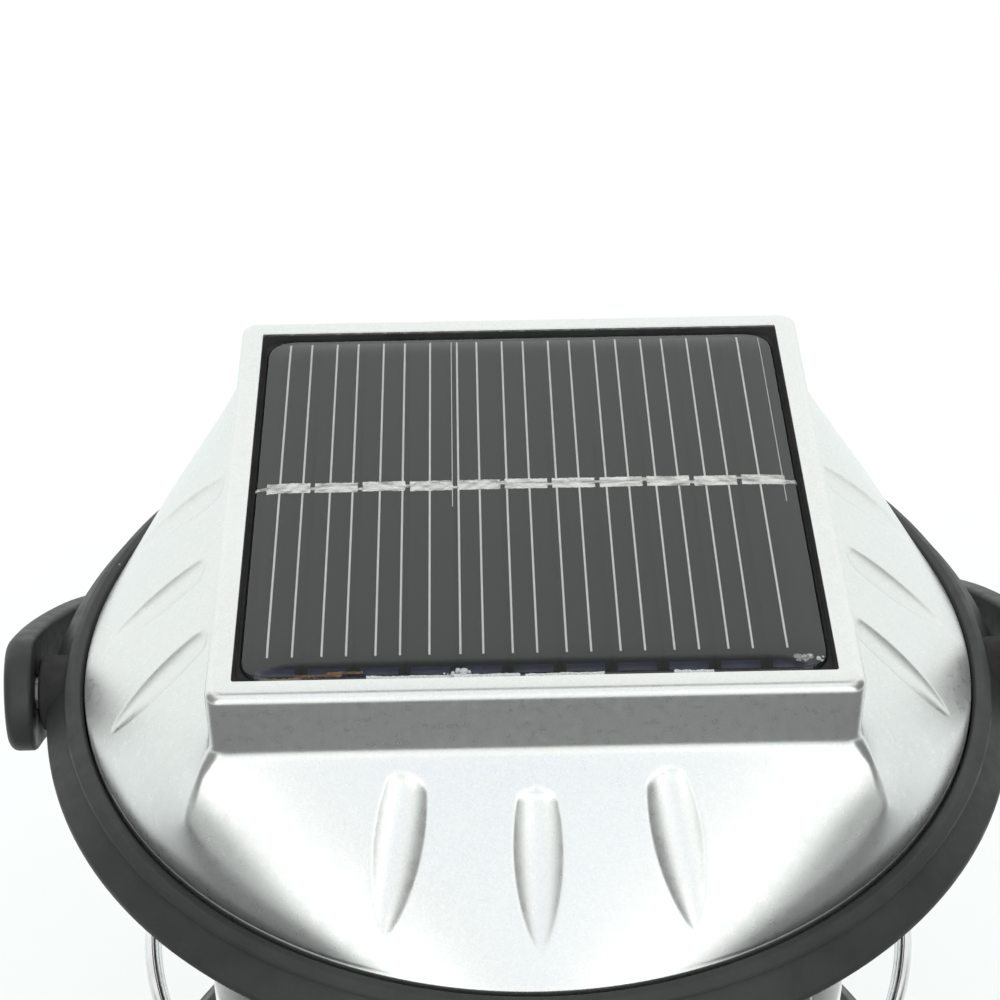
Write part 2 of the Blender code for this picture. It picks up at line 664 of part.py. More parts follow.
def build_controls(builder):
    """Push button in its bezel, switch, indicator and control board. Button axes run along Y."""
    towards_front = (math.pi / 2, 0, 0)
    bezel = [(BEZEL_HOLE, BEZEL_FRONT), (BEZEL_FLANGE - 0.6, BEZEL_FRONT), (BEZEL_FLANGE, BEZEL_FRONT - 0.6),
             (BEZEL_FLANGE, BEZEL_SEAT), (BEZEL_SLEEVE, BEZEL_SEAT), (BEZEL_SLEEVE, BEZEL_BACK),
             (BEZEL_HOLE, BEZEL_BACK)]
    add_turned(builder, "button_bezel", bezel, "black_plastic", 24, True, (0, 0, BUTTON_Z), towards_front)
    length = BUTTON_FRONT - BUTTON_BACK
    button = [(0, length), (BUTTON_RADIUS - 1.6, length - 0.3), (BUTTON_RADIUS, length - 1.3),
              (BUTTON_RADIUS, 0), (0, 0)]
    add_turned(builder, "power_button", button, "black_rubber", 24, False,
               (0, -BUTTON_BACK, BUTTON_Z), towards_front)
    indicator = [(0, 7.0), (1.4, 6.5), (INDICATOR_RADIUS, 5.2), (INDICATOR_RADIUS, 0), (0, 0)]
    add_turned(builder, "charge_indicator", indicator, "indicator_red", 12, False,
               (0, -46.6, INDICATOR_Z), towards_front)
    board = box_mesh("control_board", (36.0, 1.6, 44.0))
    builder.add("control_board", board, "circuit_board", (0, -42.8, BUTTON_Z + 1.0))
    switch = box_mesh("power_switch", (12.0, 4.2, 12.0))
    builder.add("power_switch", switch, "black_plastic", (0, -46.0, BUTTON_Z))


# Battery bay and base

def build_battery(builder):
    """Three AA size cells in a holder that is open downwards."""
    width, depth, height = HOLDER_SIZE
    low = BASE_FLOOR_Z + BASE_FLOOR + GAP
    holder = builder.add("battery_holder", box_mesh("battery_holder", HOLDER_SIZE), "black_plastic",
                         (0, 0, low + height / 2))
    bay = box_mesh("battery_bay", (*BAY_SIZE, height), (0, 0, low + height / 2 - 1.5))
    add_boolean(holder, builder.add("battery_bay", bay))
    bore = cylinder_mesh("door_screw_bore", 1.5, 12.0, 10, "Z", (DOOR_SCREW_X, 0, low))
    add_boolean(holder, builder.add("door_screw_bore", bore))
    half = CELL_BODY_LENGTH / 2
    cell = [(0, half), (2.6, half), (2.6, half - 1.2), (CELL_RADIUS, half - 1.4), (CELL_RADIUS, -half),
            (0, -half)]
    for index in range(3):
        y = (index - 1) * BATTERY_PITCH
        turn = math.pi / 2 if index % 2 == 0 else -math.pi / 2
        add_turned(builder, f"battery_cell_{index + 1}", cell, "battery_sleeve", 20, False,
                   (0, y, BATTERY_Z), (0, turn, 0))


def base_profile():
    """Black base: floor inside, wall, outer side, and flat underside."""
    floor_top = BASE_FLOOR_Z + BASE_FLOOR
    return [(0, floor_top), (48.4, floor_top), (49.2, floor_top + 0.8), (49.2, BASE_TOP_Z),
            (51.4, BASE_TOP_Z), (52.6, BASE_TOP_Z - 1.2), (53.6, 9.0), (52.8, BASE_FLOOR_Z + 1.0),
            (51.2, BASE_FLOOR_Z), (0, BASE_FLOOR_Z)]


def build_base(builder):
    """Base plate with screw pillars, the battery door's opening, and its screws."""
    base = add_turned(builder, "base_plate", base_profile(), "black_plastic", LARGE_STEPS, False)
    opening = (DOOR_SIZE[0] + 2 * DOOR_GAP, DOOR_SIZE[1] + 2 * DOOR_GAP, 3 * BASE_FLOOR)
    cut = box_mesh("door_opening", opening, (0, 0, BASE_FLOOR_Z + BASE_FLOOR / 2))
    add_boolean(base, builder.add("door_opening", cut))
    pillar_low = BASE_FLOOR_Z + BASE_FLOOR / 2
    for index, azimuth in enumerate(SCREW_AZIMUTHS):
        centre = on_circle(SCREW_CIRCLE, azimuth, (pillar_low + BASE_TOP_Z) / 2)
        pillar = cylinder_mesh("pillar", 4.2, BASE_TOP_Z - pillar_low, 14, "Z", centre)
        add_boolean(base, builder.add(f"pillar_{azimuth}", pillar), "UNION")
        middle = on_circle(SCREW_CIRCLE, azimuth, BASE_TOP_Z / 2)
        bore = cylinder_mesh("pillar_bore", SCREW_HOLE, 30.0, 10, "Z", middle)
        add_boolean(base, builder.add(f"pillar_bore_{azimuth}", bore))
        sink = cylinder_mesh("sink", 3.2, 5.0, 14, "Z", on_circle(SCREW_CIRCLE, azimuth, BASE_FLOOR_Z))
        add_boolean(base, builder.add(f"sink_{azimuth}", sink))
        shank = SCREW_HOLE - GAP
        top = BODY_BOTTOM_Z + 6.0
        head = BASE_FLOOR_Z + 2.2
        screw = [(0, top), (shank, top), (shank, head), (2.8, head), (2.8, head - 1.6), (0, head - 1.8)]
        add_turned(builder, f"base_screw_{index + 1}", screw, "steel", 12, False,
                   on_circle(SCREW_CIRCLE, azimuth))


def build_door(builder):
    """Battery door, flush in the base, held by one screw."""
    door_z = BASE_FLOOR_Z + DOOR_GAP + DOOR_SIZE[2] / 2
    door = builder.add("battery_door", box_mesh("battery_door", DOOR_SIZE), "black_plastic", (0, 0, door_z))
    bore = cylinder_mesh("door_bore", 1.5, 8.0, 10, "Z", (DOOR_SCREW_X, 0, door_z))
    add_boolean(door, builder.add("door_bore", bore))
    under = BASE_FLOOR_Z
    screw = [(0, 12.0), (1.2, 12.0), (1.2, under), (2.6, under), (2.6, under - 0.7), (0, under - 1.0)]
    add_turned(builder, "door_screw", screw, "steel", 12, False, (DOOR_SCREW_X, 0, 0))


def build_feet(builder):
    """Four rubber feet under the base."""
    foot = [(0, FOOT_HEIGHT), (FOOT_RADIUS, FOOT_HEIGHT), (FOOT_RADIUS, 0.6), (FOOT_RADIUS - 0.6, 0),
            (0, 0)]
    for index in range(4):
        add_turned(builder, f"rubber_foot_{index + 1}", foot, "black_rubber", 16, False,
                   on_circle(FOOT_CIRCLE, 45 + index * 90))


def main():
    clear_scene()
    builder = Builder()
    build_cap(builder)
    build_cap_seal(builder)
    build_panel(builder)
    build_rings(builder)
    build_globe(builder)
    build_guard(builder)
    build_handle(builder)
    build_light(builder)
    build_body(builder)
    build_controls(builder)
    build_battery(builder)
    build_base(builder)
    build_door(builder)
    build_feet(builder)


main()
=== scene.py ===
"""Looks of the solar lantern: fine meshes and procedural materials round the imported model.

Lengths in the shape functions are millimetres in the row frame, and place() turns them into metres.
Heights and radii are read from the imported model's own boxes.
"""
import json
import math
import random

import bmesh
import bpy
from mathutils import Matrix, Vector


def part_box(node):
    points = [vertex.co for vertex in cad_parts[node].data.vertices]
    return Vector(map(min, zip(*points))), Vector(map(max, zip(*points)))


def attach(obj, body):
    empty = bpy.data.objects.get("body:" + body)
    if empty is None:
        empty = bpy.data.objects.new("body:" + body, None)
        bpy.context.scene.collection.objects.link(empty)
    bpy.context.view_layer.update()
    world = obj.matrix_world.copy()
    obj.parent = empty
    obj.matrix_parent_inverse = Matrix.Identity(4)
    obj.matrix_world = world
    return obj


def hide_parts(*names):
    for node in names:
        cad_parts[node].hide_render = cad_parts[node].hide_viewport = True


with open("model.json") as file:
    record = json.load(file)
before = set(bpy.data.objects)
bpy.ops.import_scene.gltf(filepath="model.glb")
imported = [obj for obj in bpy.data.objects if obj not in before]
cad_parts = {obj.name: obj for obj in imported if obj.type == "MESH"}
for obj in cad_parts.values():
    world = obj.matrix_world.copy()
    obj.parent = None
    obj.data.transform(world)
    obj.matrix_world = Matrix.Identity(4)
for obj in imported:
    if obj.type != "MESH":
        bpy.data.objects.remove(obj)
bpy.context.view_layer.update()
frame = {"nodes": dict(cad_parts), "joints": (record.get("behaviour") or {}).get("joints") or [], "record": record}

MM = 0.001
BODY = "lantern"


def span(node):
    """Lowest and highest corner of a CAD node, in millimetres."""
    low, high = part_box(node)
    return low / MM, high / MM


def middle(node):
    """Middle of a CAD node's box, in millimetres."""
    low, high = span(node)
    return (low + high) / 2


def upright(node, height=0.0):
    """Move to a node's axis, at this height in millimetres."""
    centre = middle(node)
    return Matrix.Translation(Vector((centre.x, centre.y, height)) * MM)


def facing_front(node):
    """Turn the axis towards the front, at the height of a node's middle."""
    return Matrix.Translation((0, 0, middle(node).z * MM)) @ Matrix.Rotation(math.pi / 2, 4, "X")


def facing_side(turn, reach=0.0):
    """Turn the axis towards one side at the handle's pivot, this far out."""
    at_pivot = Matrix.Translation(PIVOT * MM) @ Matrix.Rotation(turn, 4, "Y")
    return at_pivot @ Matrix.Translation((0, 0, reach * MM))


def smooth(share):
    """0 to 1 with soft ends."""
    return share * share * (3 - 2 * share)


# ---------------------------------------------------------------- dimensions

CAP_LOW, CAP_HIGH = span("top_cap")
TOP_Z = CAP_HIGH.z
RIM_RADIUS = CAP_HIGH.x
RESIN_HIGH = span("epoxy_cover")[1]
RESIN_HALF = RESIN_HIGH.x - 0.2
RING_LOW, RING_HIGH = span("upper_ring")
RING_BAND = RING_HIGH.y
RIM_Z = RING_HIGH.z
GUARD_MID_Z = (RING_LOW.z + span("lower_ring")[1].z) / 2

PLINTH_HALF = 33.25
PLINTH_BLEND = 2.65          # softness of the plinth's corners
PLINTH_HEIGHT = 7.7
PLINTH_EDGE = 1.0            # rounding of the frame's top edge
POCKET_HALF = 30.6
CURVE_GROWTH = 1.15          # how fast the square's sides curve into the round rim
RIDGE_SOFT_TOP = 1.6         # half width of the ridge's rounding at the plinth, in degrees
RIDGE_SOFT = 0.7             # just below it
RIDGE_SOFT_FADE = 9.0        # what is added to it where the ridge fades out
RIDGE_FADE_START = 0.42      # share of the skirt above the fading
SIDE_BEND_POWER = 4.6        # how late the skirt's sides bend towards the ridges
CAP_WALL = 2.0
RING_BORE = RIM_RADIUS + 0.22

PIVOT = Vector(frame["joints"][0]["pos_m"]) / MM
SIDES = (("left", -math.pi / 2), ("right", math.pi / 2))
HANDLE_DROOP = math.radians(28.0)
HANDLE_RADIUS = span("handle")[1].x
HANDLE_EAR_HALF = 6.7
HANDLE_GRIP_HALF = 5.0
HANDLE_EAR_THICKNESS = 3.2
HANDLE_GRIP_THICKNESS = 2.4
GRIP_START = 16.0            # where the ears begin to narrow, in degrees from the end of the bail
GRIP_BLEND = 30.0            # degrees over which they do
HANDLE_OUTER_EDGE = 1.1
HANDLE_INNER_EDGE = 0.6
HANDLE_SINKING = 59.1        # floor of the sinking for the pivot screw's head

BASE_SCREWS = ("base_screw_1", "base_screw_2", "base_screw_3")

STRIP_NAMES = sorted(name for name in frame["nodes"] if name.startswith("solar_cell"))
STRIP_PITCH = span(STRIP_NAMES[1])[0].x - span(STRIP_NAMES[0])[0].x
STRIP_HALF = (span(STRIP_NAMES[0])[1].x - span(STRIP_NAMES[0])[0].x) / 2
STRIP_DEPTH = 1.5            # strips below the resin's top
STRIP_FRONT = span(STRIP_NAMES[0])[0].y
STRIP_BACK = span(STRIP_NAMES[0])[1].y + 0.4
LINE_FRONT = -26.2
LINE_PITCH = 2.5             # printed metal lines on the silicon
LINE_WIDTH = 0.22
LINE_PHASE = -0.95           # first line's place on the first strip
LINE_DRIFT = 0.26            # strips are narrower than two line pitches, so the lines shift along
LAST_STRIP_SHIFT = 0.5       # the last strip is from another wafer
RIBBON_Y = 1.55
RIBBON_HALF = 0.85


# ---------------------------------------------------------------- mesh helpers

def place(name, verts, faces, material, body=BODY, slot=None, replaces=(), matrix=None, sharp=38.0):
    """Make a piece from points in millimetres and put it on its body."""
    mesh = bpy.data.meshes.new(name)
    mesh.from_pydata([tuple(Vector(v) * MM) for v in verts], [], faces)
    if matrix is not None:
        mesh.transform(matrix)
    mesh.shade_smooth()
    mesh.set_sharp_from_angle(angle=math.radians(sharp))
    mesh.materials.append(material)
    piece = bpy.data.objects.new(name, mesh)
    bpy.context.scene.collection.objects.link(piece)
    if body is not None:
        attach(piece, body)
    if replaces:
        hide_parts(*replaces)
    return piece


def fillet(before, corner, after, radius, steps):
    """Points of an arc that rounds one corner of a flat path."""
    corner = Vector(corner)
    to_before = Vector(before) - corner
    to_after = Vector(after) - corner
    half_angle = to_before.angle(to_after) / 2
    reach = min(radius / math.tan(half_angle), 0.49 * to_before.length, 0.49 * to_after.length)
    radius = reach * math.tan(half_angle)
    start = corner + to_before.normalized() * reach
    end = corner + to_after.normalized() * reach
    bisector = (to_before.normalized() + to_after.normalized()).normalized()
    centre = corner + bisector * (radius / math.sin(half_angle))
    first = start - centre
    turn = first.angle_signed(end - centre)
    points = []
    for step in range(steps + 1):
        angle = -turn * step / steps
        c, s = math.cos(angle), math.sin(angle)
        points.append((centre.x + first.x * c - first.y * s, centre.y + first.x * s + first.y * c))
    return points


def rounded(points, closed=True, steps=4):
    """A path of (x, y) or (x, y, radius) points with its corners rounded."""
    count = len(points)
    path = []
    for index, point in enumerate(points):
        radius = point[2] if len(point) > 2 else 0.0
        at_end = not closed and index in (0, count - 1)
        if radius <= 0 or at_end:
            path.append((point[0], point[1]))
            continue
        before = points[index - 1][:2]
        after = points[(index + 1) % count][:2]
        path += fillet(before, point[:2], after, radius, steps)
    return path


def revolve(path, steps):
    """Turn a (radius, height) path about Z: a ring, or a solid where the path starts on the axis."""
    verts = []
    rows = []
    for radius, height in path:
        if radius < 1e-6:
            rows.append([len(verts)] * steps)
            verts.append((0.0, 0.0, height))
            continue
        rows.append(list(range(len(verts), len(verts) + steps)))
        for step in range(steps):
            angle = 2 * math.pi * step / steps
            verts.append((radius * math.cos(angle), radius * math.sin(angle), height))
    faces = []
    pairs = list(zip(rows, rows[1:]))
    if path[0][0] > 0:
        pairs.append((rows[-1], rows[0]))
    for upper, lower in pairs:
        for step in range(steps):
            after = (step + 1) % steps
            ring = (upper[step], lower[step], lower[after], upper[after])
            face = tuple(dict.fromkeys(ring))
            if len(face) > 2:
                faces.append(face)
    return verts, faces


def turned(name, points, material, steps=128, fine=4, **options):
    """A turned piece from its rounded profile."""
    verts, faces = revolve(rounded(points, points[0][0] > 0, fine), steps)
    return place(name, verts, faces, material, **options)


def disc(radius, low, high, edge):
    """Profile of a round plate or rod."""
    return [(0, high), (radius, high, edge), (radius, low, edge), (0, low)]


def tube(node, outside, inside, edge):
    """Profile of a tube as high as a node."""
    low, high = span(node)
    return [(outside, high.z, edge), (outside, low.z, edge), (inside, low.z, edge), (inside, high.z, edge)]


def loft(rows, closed):
    """Faces between rows of points of equal length; closed joins the last row to the first."""
    count = len(rows[0])
    verts = [point for row in rows for point in row]
    faces = []
    total = len(rows)
    for index in range(total if closed else total - 1):
        a = index * count
        b = ((index + 1) % total) * count
        for step in range(count):
            after = (step + 1) % count
            faces.append((a + step, b + step, b + after, a + after))
    return verts, faces


def grid_faces(rows, columns):
    """Faces of a grid of points, row by row, with a point more than its columns in each."""
    starts = [row * (columns + 1) + column for row in range(rows) for column in range(columns)]
    return [(a, a + 1, a + columns + 2, a + columns + 1) for a in starts]


def taken(bm):
    """Points and faces of a bmesh, which is then freed."""
    verts = [tuple(v.co) for v in bm.verts]
    index = {v: i for i, v in enumerate(bm.verts)}
    faces = [tuple(index[v] for v in face.verts) for face in bm.faces]
    bm.free()
    return verts, faces


def box_piece(name, low, high, material, bevel=0.2, **options):
    """A box with softened edges between two corners."""
    bm = bmesh.new()
    size = [high[axis] - low[axis] for axis in range(3)]
    centre = [(high[axis] + low[axis]) / 2 for axis in range(3)]
    bmesh.ops.create_cube(bm, size=1.0, matrix=Matrix.Translation(centre) @ Matrix.Diagonal((*size, 1.0)))
    bmesh.ops.bevel(bm, geom=bm.edges[:], offset=bevel, segments=2, affect="EDGES", profile=0.5)
    return place(name, *taken(bm), material, **options)


def carve(piece, *cutters):
    """Cut a piece with others, which are then removed."""
    for cutter in cutters:
        boolean = piece.modifiers.new("carve", "BOOLEAN")
        boolean.object = cutter
        boolean.solver = "EXACT"
    bpy.context.view_layer.update()
    graph = bpy.context.evaluated_depsgraph_get()
    carved = bpy.data.meshes.new_from_object(piece.evaluated_get(graph))
    piece.modifiers.clear()
    piece.data = carved
    for cutter in cutters:
        bpy.data.objects.remove(cutter, do_unlink=True)
    return piece


def cutting_cylinder(radius, low, high, matrix):
    """A plain cylinder for carve()."""
    verts, faces = revolve([(0, high), (radius, high), (radius, low), (0, low)], 64)
    return place("cutter", verts, faces, None, body=None, matrix=matrix)


def cutting_box(low, high):
    """A plain box for carve()."""
    xs, ys, zs = zip(low, high)
    verts = [(x, y, z) for x in xs for y in ys for z in zs]
    faces = [(0, 1, 3, 2), (4, 6, 7, 5), (0, 4, 5, 1), (2, 3, 7, 6), (0, 2, 6, 4), (1, 5, 7, 3)]
    return place("cutter", verts, faces, None, body=None)


# ---------------------------------------------------------------- materials

def make_node(tree, kind, inputs, **settings):
    """A shader node; each input takes a value or another node's socket."""
    node = tree.nodes.new(f"ShaderNode{kind}")
    for setting, value in settings.items():
        setattr(node, setting, value)
    for socket, value in inputs.items():
        if isinstance(value, bpy.types.NodeSocket):
            tree.links.new(value, node.inputs[socket])
        else:
            node.inputs[socket].default_value = value
    return node


class Finish:
    """A Principled material with helpers for its procedural nodes, in object coordinates."""

    def __init__(self, name, color, roughness, metallic=0.0, **sockets):
        self.material = bpy.data.materials.new(name)
        self.material.use_nodes = True
        self.tree = self.material.node_tree
        self.shader = self.tree.nodes["Principled BSDF"]
        self.shader.inputs["Base Color"].default_value = (*color, 1.0)
        self.shader.inputs["Roughness"].default_value = roughness
        self.shader.inputs["Metallic"].default_value = metallic
        for socket, value in sockets.items():
            self.shader.inputs[socket.replace("_", " ")].default_value = value
        self.position = self.tree.nodes.new("ShaderNodeTexCoord").outputs["Object"]

    def stretched(self, x, y, z):
        """Object coordinates scaled apart on each axis."""
        return make_node(self.tree, "Mapping", {"Scale": (x, y, z), "Vector": self.position}).outputs[0]

    def noise(self, scale, detail=3.0, roughness=0.55, vector=None):
        """Noise value from 0 to 1; scale is in features per metre."""
        inputs = {"Scale": scale, "Detail": detail, "Roughness": roughness,
                  "Vector": vector or self.position}
        return make_node(self.tree, "TexNoise", inputs).outputs["Fac"]

    def cells(self, scale, output):
        """Voronoi cells; scale is in cells per metre."""
        return make_node(self.tree, "TexVoronoi", {"Scale": scale, "Vector": self.position}).outputs[output]

    def spread(self, value, from_low, from_high, to_low=0.0, to_high=1.0):
        """Map a value's range to another, clamped."""
        inputs = {"Value": value, "From Min": from_low, "From Max": from_high, "To Min": to_low,
                  "To Max": to_high}
        return make_node(self.tree, "MapRange", inputs).outputs["Result"]

    def combine(self, first, second, operation="MULTIPLY"):
        """One value from two."""
        return make_node(self.tree, "Math", {0: first, 1: second}, operation=operation).outputs[0]

    def mix(self, factor, first, second):
        """Blend two colours, each a tuple or a socket, by a factor socket."""
        first, second = [(*color, 1.0) if isinstance(color, tuple) else color for color in (first, second)]
        inputs = {"Factor": factor, 6: first, 7: second}
        return make_node(self.tree, "Mix", inputs, data_type="RGBA").outputs[2]

    def set(self, socket, value):
        """Feed a shader input."""
        self.tree.links.new(value, self.shader.inputs[socket])

    def bump(self, height, distance, strength):
        """Relief of this height in metres, on top of any bump made before."""
        inputs = {"Distance": distance, "Strength": strength, "Height": height}
        normal = self.shader.inputs["Normal"]
        if normal.is_linked:
            inputs["Normal"] = normal.links[0].from_socket
        self.tree.links.new(make_node(self.tree, "Bump", inputs).outputs["Normal"], normal)

    def dust(self, base, scale, size, color, share):
        """Sparse pale specks over a base colour."""
        near = self.spread(self.cells(scale, "Distance"), size * 0.6, size, 1.0, 0.0)
        some = self.spread(self.noise(150.0, 2.0), share - 0.01, share + 0.03)
        return self.mix(self.combine(near, some), base, color)


def mottled(name, base, roughness, metallic=0.0, tint=None, gloss=None, relief=None, **sockets):
    """A finish whose colour, roughness and relief each follow a noise of their own.

    tint is (scale, detail, low, high, colour at low, colour at high), gloss the same with two roughnesses,
    and relief (scale, detail, height in metres, strength).
    """
    finish = Finish(name, base, roughness, metallic, **sockets)
    if tint is not None:
        scale, detail, low, high, first, second = tint
        cloud = finish.spread(finish.noise(scale, detail), low, high)
        finish.set("Base Color", finish.mix(cloud, first, second))
    if gloss is not None:
        scale, detail, low, high, smooth, rough = gloss
        finish.set("Roughness", finish.spread(finish.noise(scale, detail), low, high, smooth, rough))
    if relief is not None:
        scale, detail, height, strength = relief
        finish.bump(finish.noise(scale, detail), height, strength)
    return finish.material


def silver_paint():
    """Satin metallic paint on plastic: fine flakes and a faint cloudiness."""
    finish = Finish("silver_paint", (0.68, 0.7, 0.69), 0.3, 0.95)
    flakes = finish.spread(finish.cells(5200.0, "Color"), 0.15, 0.9)
    cloud = finish.spread(finish.noise(38.0, 4.0), 0.3, 0.7)
    shade = finish.mix(cloud, (0.735, 0.76, 0.74), (0.77, 0.79, 0.775))
    finish.set("Base Color", finish.mix(flakes, shade, (0.81, 0.825, 0.81)))
    finish.set("Roughness", finish.spread(finish.noise(900.0, 4.0), 0.3, 0.7, 0.26, 0.34))
    finish.bump(finish.noise(4200.0, 2.0), 0.000012, 0.4)
    finish.bump(finish.noise(220.0, 2.0), 0.00001, 0.25)
    return finish.material


def black_plastic():
    """Matt moulded plastic with a fine grain, paler scuffs and dust."""
    finish = Finish("black_plastic", (0.02, 0.021, 0.021), 0.5, Specular_IOR_Level=0.5)
    cloud = finish.spread(finish.noise(90.0, 5.0, 0.65), 0.35, 0.75)
    shade = finish.mix(cloud, (0.023, 0.025, 0.0245), (0.035, 0.037, 0.0365))
    finish.set("Base Color", finish.dust(shade, 380.0, 0.05, (0.42, 0.43, 0.42), 0.57))
    finish.set("Roughness", finish.spread(finish.noise(500.0, 4.0), 0.3, 0.7, 0.42, 0.6))
    finish.bump(finish.noise(3000.0, 3.0), 0.00003, 0.55)
    finish.bump(finish.noise(420.0, 3.0), 0.00004, 0.3)
    return finish.material


def black_rubber():
    """Soft dull rubber."""
    finish = Finish("black_rubber", (0.018, 0.018, 0.018), 0.8, Specular_IOR_Level=0.35)
    cloud = finish.spread(finish.noise(160.0, 5.0), 0.3, 0.7)
    shade = finish.mix(cloud, (0.014, 0.014, 0.014), (0.026, 0.026, 0.025))
    finish.set("Base Color", finish.dust(shade, 500.0, 0.04, (0.3, 0.3, 0.29), 0.58))
    finish.set("Roughness", finish.spread(finish.noise(700.0), 0.3, 0.7, 0.7, 0.92))
    finish.bump(finish.noise(2400.0, 3.0), 0.00005, 0.6)
    return finish.material


def chrome():
    """Bright plated wire."""
    return mottled("chrome", (0.78, 0.79, 0.8), 0.1, 1.0,
                   tint=(220.0, 5.0, 0.35, 0.7, (0.8, 0.81, 0.82), (0.66, 0.66, 0.66)),
                   gloss=(640.0, 4.0, 0.3, 0.75, 0.06, 0.2), relief=(1300.0, 2.0, 0.00001, 0.35))


def plated_steel():
    """Zinc plated screws."""
    return mottled("steel", (0.55, 0.55, 0.56), 0.32, 1.0,
                   tint=(900.0, 4.0, 0.3, 0.7, (0.5, 0.5, 0.5), (0.66, 0.66, 0.65)),
                   gloss=(1500.0, 4.0, 0.3, 0.7, 0.24, 0.45), relief=(2600.0, 3.0, 0.00001, 0.4))


def clear_plastic():
    """Clear polished plastic of the globe, with a slight moulding wave."""
    return mottled("clear_plastic", (0.98, 0.99, 0.99), 0.02, Transmission_Weight=1.0, IOR=1.49,
                   gloss=(300.0, 5.0, 0.55, 0.75, 0.015, 0.07), relief=(55.0, 2.0, 0.00006, 0.35))


def resin():
    """Clear glossy potting resin."""
    return mottled("epoxy", (0.97, 0.985, 0.98), 0.0, Transmission_Weight=1.0, IOR=1.6,
                   tint=(90.0, 2.0, 0.3, 0.7, (0.965, 0.98, 0.97), (0.98, 0.99, 0.985)))


def silicon():
    """Dark coated silicon with saw grain along the strips."""
    finish = Finish("silicon", (0.004, 0.006, 0.016), 0.6, Specular_IOR_Level=0.1)
    grain = finish.noise(1.0, 3.0, 0.6, finish.stretched(700.0, 40.0, 700.0))
    cloud = finish.spread(finish.combine(grain, finish.noise(120.0, 3.0)), 0.12, 0.42)
    finish.set("Base Color", finish.mix(cloud, (0.007, 0.0085, 0.0085), (0.011, 0.013, 0.0125)))
    finish.set("Roughness", finish.spread(grain, 0.3, 0.7, 0.5, 0.7))
    return finish.material


def blue_edge():
    """Blue antireflection coat left bare at a strip's end."""
    return mottled("blue_edge", (0.008, 0.014, 0.045), 0.4,
                   tint=(700.0, 3.0, 0.35, 0.65, (0.005, 0.01, 0.035), (0.012, 0.022, 0.06)))


def backing_film():
    """Dull black film."""
    return mottled("backing_film", (0.004, 0.004, 0.005), 0.8, Specular_IOR_Level=0.05,
                   tint=(300.0, 3.0, 0.3, 0.7, (0.006, 0.007, 0.007), (0.01, 0.0115, 0.011)))


def printed_silver():
    """Fired silver paste of the thin lines."""
    finish = Finish("printed_silver", (0.95, 0.94, 0.92), 0.6)
    grain = finish.spread(finish.noise(2600.0, 3.0), 0.3, 0.7)
    finish.set("Base Color", finish.mix(grain, (0.9, 0.89, 0.87), (0.98, 0.975, 0.96)))
    finish.bump(grain, 0.00001, 0.5)
    return finish.material


def tinned_ribbon():
    """Wrinkled, solder-tinned foil, its colour darker in the hollows of the creases as painted shade."""
    finish = Finish("tinned_ribbon", (0.85, 0.85, 0.82), 0.3, 0.45)
    crease_relief_and_shade = finish.noise(1.0, 4.0, 0.6, finish.stretched(420.0, 1500.0, 400.0))
    # Base colour darker where the crease relief is low: painted shade in the hollows.
    finish.set("Base Color", finish.mix(finish.spread(crease_relief_and_shade, 0.35, 0.6),
                                        (0.5, 0.5, 0.48), (0.93, 0.93, 0.9)))
    finish.set("Roughness", finish.spread(crease_relief_and_shade, 0.3, 0.7, 0.2, 0.45))
    finish.bump(crease_relief_and_shade, 0.00012, 0.8)
    return finish.material


def solder_mask():
    """Black lacquered circuit board with a woven ground."""
    finish = Finish("circuit_board", (0.012, 0.013, 0.012), 0.4)
    weave = finish.combine(finish.noise(1.0, 1.0, 0.5, finish.stretched(1500.0, 120.0, 120.0)),
                           finish.noise(1.0, 1.0, 0.5, finish.stretched(120.0, 1500.0, 1500.0)), "ADD")
    finish.set("Base Color", finish.mix(finish.spread(weave, 0.8, 1.2),
                                        (0.008, 0.009, 0.008), (0.018, 0.02, 0.018)))
    finish.set("Roughness", finish.spread(weave, 0.8, 1.2, 0.32, 0.5))
    finish.bump(weave, 0.00002, 0.4)
    return finish.material


def mirror_plastic():
    """Vacuum-metallised reflector."""
    return mottled("mirror_plastic", (0.86, 0.87, 0.87), 0.12, 1.0,
                   tint=(180.0, 5.0, 0.4, 0.7, (0.88, 0.88, 0.88), (0.76, 0.77, 0.77)),
                   gloss=(400.0, 4.0, 0.3, 0.7, 0.07, 0.2), relief=(130.0, 3.0, 0.00003, 0.3))


def lamp_lens():
    """Water-clear lamp body, slightly milky."""
    return mottled("led_lens", (0.93, 0.95, 0.96), 0.08, Transmission_Weight=0.75, IOR=1.5,
                   gloss=(700.0, 3.0, 0.3, 0.7, 0.04, 0.16), relief=(500.0, 2.0, 0.00001, 0.3))


def battery_sleeve():
    """Green shrink sleeve."""
    return mottled("battery_sleeve", (0.08, 0.32, 0.13), 0.35, Coat_Weight=0.3,
                   tint=(220.0, 4.0, 0.3, 0.7, (0.07, 0.3, 0.12), (0.1, 0.36, 0.16)),
                   gloss=(600.0, 3.0, 0.3, 0.7, 0.28, 0.42), relief=(300.0, 3.0, 0.00003, 0.4))


def tinted_lens():
    """Deep red indicator window."""
    return mottled("indicator_red", (0.5, 0.02, 0.015), 0.15, Transmission_Weight=0.35, IOR=1.5,
                   tint=(900.0, 3.0, 0.3, 0.7, (0.4, 0.012, 0.01), (0.6, 0.03, 0.02)),
                   relief=(800.0, 3.0, 0.00001, 0.3))


def glue():
    """Clear hardened glue squeezed out at the panel's edge."""
    return mottled("glue", (0.8, 0.84, 0.84), 0.2, Transmission_Weight=0.55, IOR=1.45,
                   gloss=(2400.0, 4.0, 0.3, 0.7, 0.1, 0.4), relief=(2400.0, 4.0, 0.00012, 0.8))


